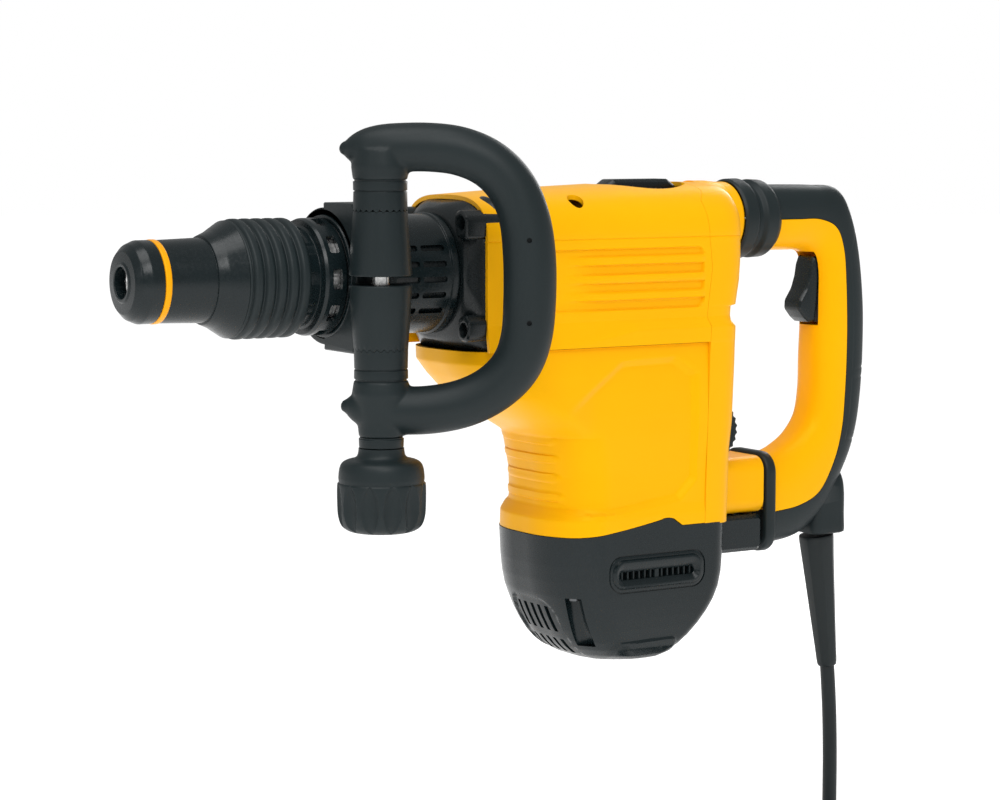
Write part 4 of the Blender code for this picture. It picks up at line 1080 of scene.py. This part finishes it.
def build_motor_housing():
    heights = levels(HOUSING_LOW, HOUSING_TOP, 0.85)[::-1]
    rings = []
    for height in heights:
        front, half = at_height(HOUSING_FRONT, height)
        ring = []
        for p in housing_plan(front, HOUSING_REAR, half):
            low = cap_line(p.x)
            share = (height - HOUSING_TOP) / (HOUSING_LOW - HOUSING_TOP)
            z = HOUSING_TOP + (low - HOUSING_TOP) * share
            f, h = at_height(HOUSING_FRONT, z)
            x = f + (p.x - front) * (HOUSING_REAR - f) / (HOUSING_REAR - front)
            y = p.y * h / half
            x += (rear_seam(z) - SEAM_GAP - HOUSING_REAR) * ramp(x, 60, HOUSING_REAR)
            sunk = motor_relief(x, z)
            ny = min(1.0, max(0.0, (abs(y) - 24) / 22))
            x += sunk * (1 - ny) * (1 if x < 60 else 0)
            y -= math.copysign(sunk * ny, y)
            ring.append(Vector((x, y, z)))
        rings.append(ring)
    obj = finish_piece("lower_housing", shell(rings, lambda co: (75, 0, co.z)), YELLOW, "housing",
                       ("motor_housing",))
    bake(obj, [cut(box((112, DIAL_Y - 4.4, DIAL_Z - 16), (130, DIAL_Y + 4.4, DIAL_Z + 16)))], angle=30)


CAP_TOP, CAP_FLOOR = -150.0, -240.8
CAP_SHAPE = [  # height, front, rear, half width
    (-150.0, 13.6, 137.0, 50.0), (-160.0, 13.6, 136.6, 50.0), (-178.0, 14.6, 136.0, 50.0),
    (-188.0, 15.8, 135.2, 50.0),
    (-197.0, 17.8, 133.2, 49.9), (-205.0, 21.0, 129.6, 49.6), (-212.0, 24.0, 125.0, 49.1),
    (-219.0, 27.6, 119.4, 48.2),
    (-226.0, 32.0, 113.0, 46.6), (-231.5, 36.6, 107.4, 44.2), (-235.8, 41.4, 102.2, 41.0),
    (-238.8, 46.6, 97.4, 37.2),
    (-240.4, 51.6, 93.0, 33.0), (-240.8, 57.0, 89.0, 28.0),
]


def closed_plan(front, rear, half):
    """Closed plan: the housing's wide front corners and tighter rear ones."""
    left = corner_plan(front, rear, half, 11.0)
    left += [left[-1].lerp(Vector((rear, 0)), k / 16) for k in range(1, 17)]
    return left + [Vector((p.x, -p.y)) for p in left[-2:0:-1]]


def stadium(low, high, radius, y, steps=9):
    """Rounded rectangle in a plane of constant y; low and high are (x, z) corners."""
    return [(p.x, y, p.y) for p in fillet(rect(low[0], high[0], low[1], high[1], radius), steps)]


def screw_channels():
    """The cap's two screw channels: their walls inside, and the hollows that open outwards."""
    around, inwards = ([TAU * k / 48 for k in range(48)],
                       [math.radians(-139 + 190 * k / 40) for k in range(41)])
    wall_rows = ((-193.2, 30.6, 36.1, 7.3), (-197.7, 30.8, 35.9, 7.3), (-212.3, 35.4, 34.1, 7.6),
                 (-228.7, 44.8, 29.2, 8.6))
    hollow_rows = ((-197.5, 29.5, 37.2, 5.6), (-212, 33.0, 36.2, 5.6), (-229, 40.0, 33.6, 6.6))
    both = []
    for rows, angles in ((wall_rows, inwards), (hollow_rows, around)):
        both.append(merged(*[skin([[(x + r * math.cos(a), side * (y + r * math.sin(a)), z) for a in angles]
                                   for z, x, y, r in rows]) for side in (-1, 1)]))
    return both


def build_bottom_cap():
    rings = []
    for height in levels(CAP_FLOOR, CAP_TOP, 1.0)[::-1]:
        front, rear, half = at_height(CAP_SHAPE, height)
        ring = []
        for p in closed_plan(front, rear, half):
            high = cap_line(p.x) - 0.3
            share = (height - CAP_TOP) / (CAP_FLOOR - CAP_TOP)
            z = high + (CAP_FLOOR - high) * share
            f, r, h = at_height(CAP_SHAPE, z)
            x = f + (p.x - front) * (r - f) / (rear - front)
            y = p.y * h / half
            x += 1.7 * inside_box(y, z, (-23, -245), (23, -200.5), 12, 0.7) * (1 - ramp(x, 50, 62))
            y += math.copysign(1.5 * inside_box(x, z, (55, -245), (99, -226.5), 4, 1.0)
                               * ramp(abs(y), 30, 38), y)
            ring.append(Vector((x, y, z)))
        rings.append(ring)
    body = bowl(rings, lambda p: Vector((78 + (p.x - 78) * 0.955, p.y * 0.945, -160 + (p.z + 160) * 0.965)))
    obj = finish_piece("motor_cap", body, GLOSSY, "housing", ("bottom_cap",))
    bracket = prism([(130, -159.2, 4), (183, -159.2, 4), (183, -182.5, 5), (150, -182.5, 8),
                     (130, -186, 4)], -23, 23,
                    "XZ", 5, 2.6)
    walls, channels = screw_channels()
    louvres = [box((8, 7.6 * k - 1.7, low), (52, 7.6 * k + 1.7, high))
               for low, high in ((-221.5, -205), (-236.0, -226.5)) for k in range(-2, 3)]
    openings = [cut(skin([stadium((46.6, -195.5), (117.8, -172.0), 9.5, side * y) for y in (40, 60)]))
                for side in (-1, 1)]
    bake(obj, [join(bracket), join(walls), cut(channels), cut(merged(*louvres)), *openings], angle=30)


def build_vents():
    """The framed side vents with their fins, and the screws at the head of the cap's channels."""
    frames, fins, screws = [], [], []
    for side in (-1, 1):
        frames.append(skin([stadium(low, high, radius, side * y) for low, high, radius, y in (
            ((45.8, -196.3), (118.6, -171.2), 10.3, 48.2), ((45.8, -196.3), (118.6, -171.2), 10.3, 49.2),
            ((47.5, -194.6), (116.9, -172.9), 8.6, 49.2), ((47.5, -194.6), (116.9, -172.9), 8.6, 49.8),
            ((47.8, -194.3), (116.6, -173.2), 8.3, 50.05), ((49.2, -192.9), (115.2, -174.6), 7.9, 50.05),
            ((50.0, -192.2), (114.4, -175.3), 7.2, 51.7), ((50.5, -191.8), (113.6, -176.2), 6.9, 52.0),
            ((51.6, -190.6), (112.6, -177.4), 5.8, 51.9),
            ((54.9, -187.9), (110.7, -182.0), 2.9, 49.0), ((55.3, -187.5), (110.3, -182.4), 2.5, 48.7),
            ((55.3, -187.5), (110.3, -182.4), 2.5, 46.0), ((52.5, -190.0), (111.5, -177.4), 5.5, 46.0),
            ((52.5, -190.0), (111.5, -177.4), 5.5, 48.2))], loop=True))
        for k in range(13):
            x = 57.6 + 50.2 * k / 12
            wide, reach = (1.5, 48.2) if k == 6 else (0.55, 47.6)
            low, high = sorted((side * 43.5, side * reach))
            fins.append(box((x - wide, low, -187.9), (x + wide, high, -181.9)))
        screws.append(turned([(-199.0, 0), (-198.6, 2.0), (-199.2, 2.4), (-199.2, 3.6, 0.4), (-194.2, 3.8),
                              (-194.2, 0)], "Z", (31.0, side * 35.0, 0), 48))
    finish_piece("vent_frames", merged(*frames), GLOSSY, "housing", angle=40)
    finish_piece("vent_fins", merged(*fins), BLACK, "housing")
    finish_piece("cap_screws", merged(*screws), DARK_STEEL, "housing",
                 ("cap_screw_left", "cap_screw_right"), 40)


# ---------------------------------------------------------------- rear cover, bellows, dial

REAR_PROFILE = [  # height, rearmost x of the back face
    (52.0, 150.5), (30.0, 152.5), (8.0, 152.5), (-8.0, 151.5), (-23.0, 148.8), (-23.8, 144.6), (-32.6, 144.0),
    (-36.4, 147.2), (-60.0, 146.6), (-95.0, 145.0), (-112.0, 142.6), (-160.0, 141.0),
]


def lofted(rows):
    """Solid through rounded rectangles in the YZ plane: rows of (x, half width, low, high, corner radius)."""
    return skin([box_ring(*row, 10, 6) for row in rows])


def pivot_hole():
    return barrel(-30, 30, 4.3, "Y", (PIVOT_X, 0, PIVOT_Z), 48)


def build_rear_cover():
    low = levels(-157.6, LID_Z, 0.85, -29.6, -23.4, -36.0) + [LID_Z + 0.4]
    rings = []
    for t, narrow in spline([(0, 0.0), (0.35, 0.2), (0.62, 1.2), (0.8, 3.8), (0.92, 8.2), (0.98, 13.0),
                             (1.0, 17.0)], 34):
        def x_of(z, t=t):
            return rear_seam(z) + SEAM_GAP + (at_height(REAR_PROFILE, z)[0] - rear_seam(z)) * t

        ring = []
        for p in upper_section(x_of, low):
            ring.append(Vector((p.x, p.y * (HALF - narrow) / HALF, p.z - 0.35 * narrow * ramp(p.z, 20, 50))))
        first, last = ring[0], ring[-1]
        ring += [last.lerp(first, k / (BOTTOM_POINTS + 1)) for k in range(1, BOTTOM_POINTS + 1)]
        rings.append(ring)
    body = bowl(rings, lambda p: Vector((117 + (p.x - 117) * 0.92,
                                         math.copysign(min(abs(p.y) * 0.952, 43.2), p.y),
                                         -55 + (p.z + 55) * 0.976)), strips=True)
    obj = finish_piece("back_cover", body, YELLOW, "housing", ("rear_cover",))
    hump = turned([(139.3, 0), (139.3, 24.6), (150, 24.5, 4), (156.0, 23.9, 3), (158.5, 23.6, 2),
                   (165.4, 23.6, 1.6),
                   (167.0, 22.0, 1.0), (167.0, 20.1), (161.7, 20.1), (161.7, 0)], "X", ARM_AT, 128)
    stub = lofted([(x, 23 + flare, -158.6, -122.5 + flare * 1.4, 9) for x, flare in
                   ((139.0, 5.5), (143.0, 5.0), (147.0, 3.0), (151.0, 1.2), (156.0, 0.3), (163.0, 0),
                    (183.0, 0))])
    slot = prism(rect(112, 160, DIAL_Z - 22, DIAL_Z + 22, 4), DIAL_Y - 4.6, DIAL_Y + 4.6)
    tongue = prism(rect(181, 194.4, -157, -143, 3), -8, 8)
    selector_room = barrel(41.6, 70, 29.1, "Z", SELECTOR_AT, 96)
    arm_room = barrel(130.0, 180, 19.4, at=ARM_AT, seg=96)
    bake(obj, [cut(selector_room), cut(slot), join(hump), join(stub), join(tongue), cut(pivot_hole()),
               cut(arm_room)], angle=30)


def build_dial():
    def scallops(along, radius, angle):
        return radius - 1.15 * (0.5 + 0.5 * math.cos(26 * angle)) ** 0.7 if radius > 17 else radius

    face = [(3.6, 0, 0), (3.6, 14.0, 0.4), (3.0, 14.8, 0.4), (3.6, 15.6, 0.4), (3.6, 18.2, 0.3),
            (2.8, DIAL_R, 0.5)]
    outline = [(-along, radius, rounding) for along, radius, rounding in face] + face[::-1]
    dial = turned(outline, "Y", (DIAL_X, DIAL_Y, DIAL_Z), 312, warp=scallops)
    finish_piece("thumbwheel", dial, BLACK, "dial", ("speed_dial",), 35)


def build_bellows():
    """Two rounded folds between the back cover's boss and the handle's upper arm."""
    folds = turned([
        (166.2, 23.9), (166.2, 24.4, 0.8), (168.0, 25.4, 1.2), (176.2, 25.6, 2.2), (178.8, 22.8, 1.6),
        (181.6, 22.6, 1.6), (184.2, 25.0, 2.2), (192.6, 24.6, 2.5), (196.6, 21.6, 1.2), (196.6, 19.0),
        (190.0, 20.0), (182.5, 19.0), (176.0, 20.6), (168.6, 23.9),
    ], "X", ARM_AT, 128, 6)
    obj = finish_piece("bellows_folds", folds, RUBBER, "housing", ("bellows",), 60)
    obj.parent = None
    obj.matrix_parent_inverse = Matrix.Identity(4)
    del obj["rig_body"]
    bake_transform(obj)


def build_pivot_band():
    """Rubber band over the lower arm's pivot: a raised hoop, tilted a little, with rounded edges."""
    rings = []
    stations = [(184.7, 0.0), (184.5, 1.6), (185.2, 2.7), (186.6, 3.2), (190.6, 3.2), (192.0, 2.7),
                (192.7, 1.6),
                (192.5, 0.0)]
    for x, rise in stations:
        rings.append(box_ring(x, 21.2 + rise, -181.6 - rise, -123.6 + rise, 10 + rise, 14, 8))
    for x in (192.5, 184.7):
        rings.append(box_ring(x, 20.4, -180.8, -124.2, 9.4, 14, 8))
    finish_piece("pivot_hoop", skin(rings, loop=True), RUBBER, "housing", ("pivot_band",), 50)


# ---------------------------------------------------------------- main handle

HANDLE_LINE = [  # (x, z) of the inner edge, the colour split and the outer edge, from the upper arm down
    (196, 7.5, 196, 27.6, 196, 49.5), (212, 7.4, 213, 27.6, 214, 49.3), (224, 7.0, 231, 27.2, 235, 48.8),
    (231.0, 3.0, 244.5, 21.5, 252.0, 47.0), (233.0, -8, 250.6, 7.5, 261.3, 34),
    (233.4, -25, 252.8, -13, 269.2, 9),
    (233.4, -45, 253.9, -40, 273.8, -25), (233.3, -65, 253.8, -63, 274.6, -58),
    (233.0, -84, 252.8, -86, 273.0, -86),
    (229.8, -100, 250.6, -109, 269.3, -110), (221, -111.5, 244.5, -130, 262.0, -131),
    (210, -118.5, 232.5, -148.5, 245, -161), (202, -121.8, 215, -156.5, 222, -177.5),
    (194, -124, 194, -159.4, 194, -182.5),
]
HANDLE_HALF, HANDLE_POWER, SPLIT_GAP = 17.5, 2.6, 0.22


def handle_stations(count=250):
    """Smooth (share of the length, (inner, split, outer)) along the handle."""
    return [(i / (count - 1), [Vector(row[k:k + 2]) for k in (0, 2, 4)])
            for i, row in enumerate(spline(HANDLE_LINE, count))]


def handle_half_at(share):
    """Half thickness of the handle along it: slimmer at the grip, wider at the arms."""
    return HANDLE_HALF + 1.2 * (1 - ramp(share, 0.05, 0.16)) + 2.2 * ramp(share, 0.72, 0.95)


def handle_ring(share, station, black):
    """Ring of one colour: a superellipse from the inner to the outer edge, cut at the split."""
    inner, split, outer = station
    across, half = (outer - inner), handle_half_at(share)
    width = across.length
    cut_at = (split - inner).dot(across) / width**2
    limit = 2 * cut_at - 1

    def spot(c):
        """c runs from -1 on the inner edge to 1 on the outer edge."""
        y = half * max(0.0, 1 - abs(c) ** HANDLE_POWER) ** (1 / HANDLE_POWER)
        base = inner + across * (c + 1) / 2
        bow = (split - (inner + across * cut_at)) * (1 - ((c + 1) / 2 - cut_at) ** 2)
        base = base + bow * max(0.0, 1 - abs((c + 1) / 2 - cut_at) * 2) ** 0.5
        return Vector((base.x, -y, base.y))

    edge = SPLIT_GAP / width * 2
    points, count = [], 56 if black else 30
    low, high = (limit + edge, 1.0) if black else (-1.0, limit - edge)
    for k in range(count + 1):
        reach = (high - low) * (1 - math.cos(math.pi / 2 * (k / count)))
        points.append(spot(high - reach if black else low + reach))
    back = [Vector((p.x, -p.y, p.z)) for p in points[::-1]]
    start = points[-1]
    flat = [Vector((start.x, start.y * (1 - 2 * k / 12), start.z)) for k in range(1, 12)]
    return points + flat + back[:-1]


def lofted_down(rows):
    """Solid through rounded rectangles in the XY plane: rows of (z, middle x, half length, half width)."""
    rings = []
    for z, x, long, wide in spline(rows, 28):
        rings.append([(p.x + x, p.y, z) for p in fillet(rect(-long, long, -wide, wide, 6), 8)])
    return skin(rings)


def back_groove(share, out):
    """Outline grooves of the two inset pads on the grip's back; share runs along it, out across it."""
    depth = 0.0
    for start, end in ((0.27, 0.545), (0.565, 0.70)):
        middle, half = (start + end) / 2, (end - start) / 2
        edge_along = (half - abs(share - middle)) * 330
        edge_out = (out - 0.30) * 17
        distance = min(edge_along, edge_out)
        if distance > -1:
            depth = max(depth, 0.8 * math.exp(-(distance / 0.6) ** 2))
    return depth


def spring_seat():
    return barrel(190, 203.2, 13.0, at=ARM_AT, seg=64)


def build_handle_core():
    """The yellow inner half of the handle, with the trigger's pocket and the two lugs of the pivot."""
    core = skin([handle_ring(share, station, False) for share, station in handle_stations()])
    obj = finish_piece("handle_core", core, YELLOW, "handle",
                       ("handle_shell_left", "handle_shell_right"), 50)
    pocket = prism([(221, -41.5, 3), (246.9, -42.0, 2), (246.9, 4.0, 2), (236, 6.0, 3), (221, 6.0, 2)],
                   -9.6, 9.6)
    lug = [(184.3, -156, 3), (200, -156), (200, -144), (184.3, -144, 3)]
    lugs = [join(prism(lug, low, high)) for low, high in ((-15.5, -8.5), (8.5, 15.5))]
    bake(obj, [*lugs, cut(pocket), cut(spring_seat()), cut(pivot_hole())], angle=40)


def build_handle_cushion():
    """The black outer half of the handle, with the gland for the cord."""
    rings = []
    for share, station in handle_stations():
        inner, split, outer = station
        outward, width = (outer - inner).normalized(), (outer - split).length
        ring = []
        for p in handle_ring(share, station, True):
            along = (Vector((p.x, p.z)) - split).dot(outward)
            ring.append(p - Vector((outward.x, 0, outward.y)) * back_groove(share, along / width))
        rings.append(ring)
    obj = finish_piece("handle_cushion", skin(rings), RUBBER, "handle", ("handle_overmould",), 50)
    gland = lofted_down([(-133, 250.5, 5, 8), (-141, 247.6, 10.3, 12.5), (-150, 245.6, 12.8, 14.6),
                         (-166, 244.8, 13.5, 15.0), (-176.4, 244.8, 13.6, 15.2), (-178.0, 244.8, 12.4, 14.0)])
    bake(obj, [join(gland), cut(spring_seat())], angle=40)


def build_trigger():
    outline = [(239.6, 1.6, 1.5), (232.8, 3.4, 2), (230.4, -2.5), (229.2, -10.0, 12), (226.6, -18.0, 14),
               (221.6, -25.5, 5), (221.2, -31.0, 4), (226.0, -36.6, 4), (230.2, -39.9, 3),
               (234.8, -39.4, 1.5)]
    body = prism(outline, -8.6, 8.6, "XZ", 8, 1.6)
    obj = finish_piece("trigger_lever", body, GLOSSY, "trigger", ("trigger",), 40)
    bake(obj, [], bevel=0.7, segments=3, bevel_angle=25)


# ---------------------------------------------------------------- carried-over CAD nodes

CARRIED = {
    STEEL: ("tool_holder", "locking_bar_left", "locking_bar_right", "sleeve_spring", "cylinder",
            "beat_piece", "ram",
            "piston", "crank_gear", "crank_bearing", "upper_bearing", "lower_bearing", "armature_shaft",
            "damper_spring", "pivot_pin"),
    IRON: ("connecting_rod", "rotor_core", "stator"),
    COPPER: ("commutator",),
    CARBON: ("brush_left", "brush_right", "switch_module"),
    BLACK: ("cooling_fan",),
    CASTING: ("bearing_plate",),
    BOARD: ("electronics_module",),
}


def paint_carried_nodes():
    for material, names in CARRIED.items():
        for name in names:
            node_object = frame["nodes"][name]
            node_object.data.materials.clear()
            node_object.data.materials.append(material)


for build in (build_camera, build_stage, build_lights, build_cord, build_cord_sleeve, build_nose,
              build_sleeve,
              build_index_collar, build_barrel, build_gear_case, build_clamp, build_loop, build_knob,
              build_upper_housing, build_selector, build_motor_housing, build_bottom_cap, build_vents,
              build_rear_cover,
              build_dial, build_bellows, build_pivot_band, build_handle_core, build_handle_cushion,
              build_trigger,
              paint_carried_nodes):
    build()
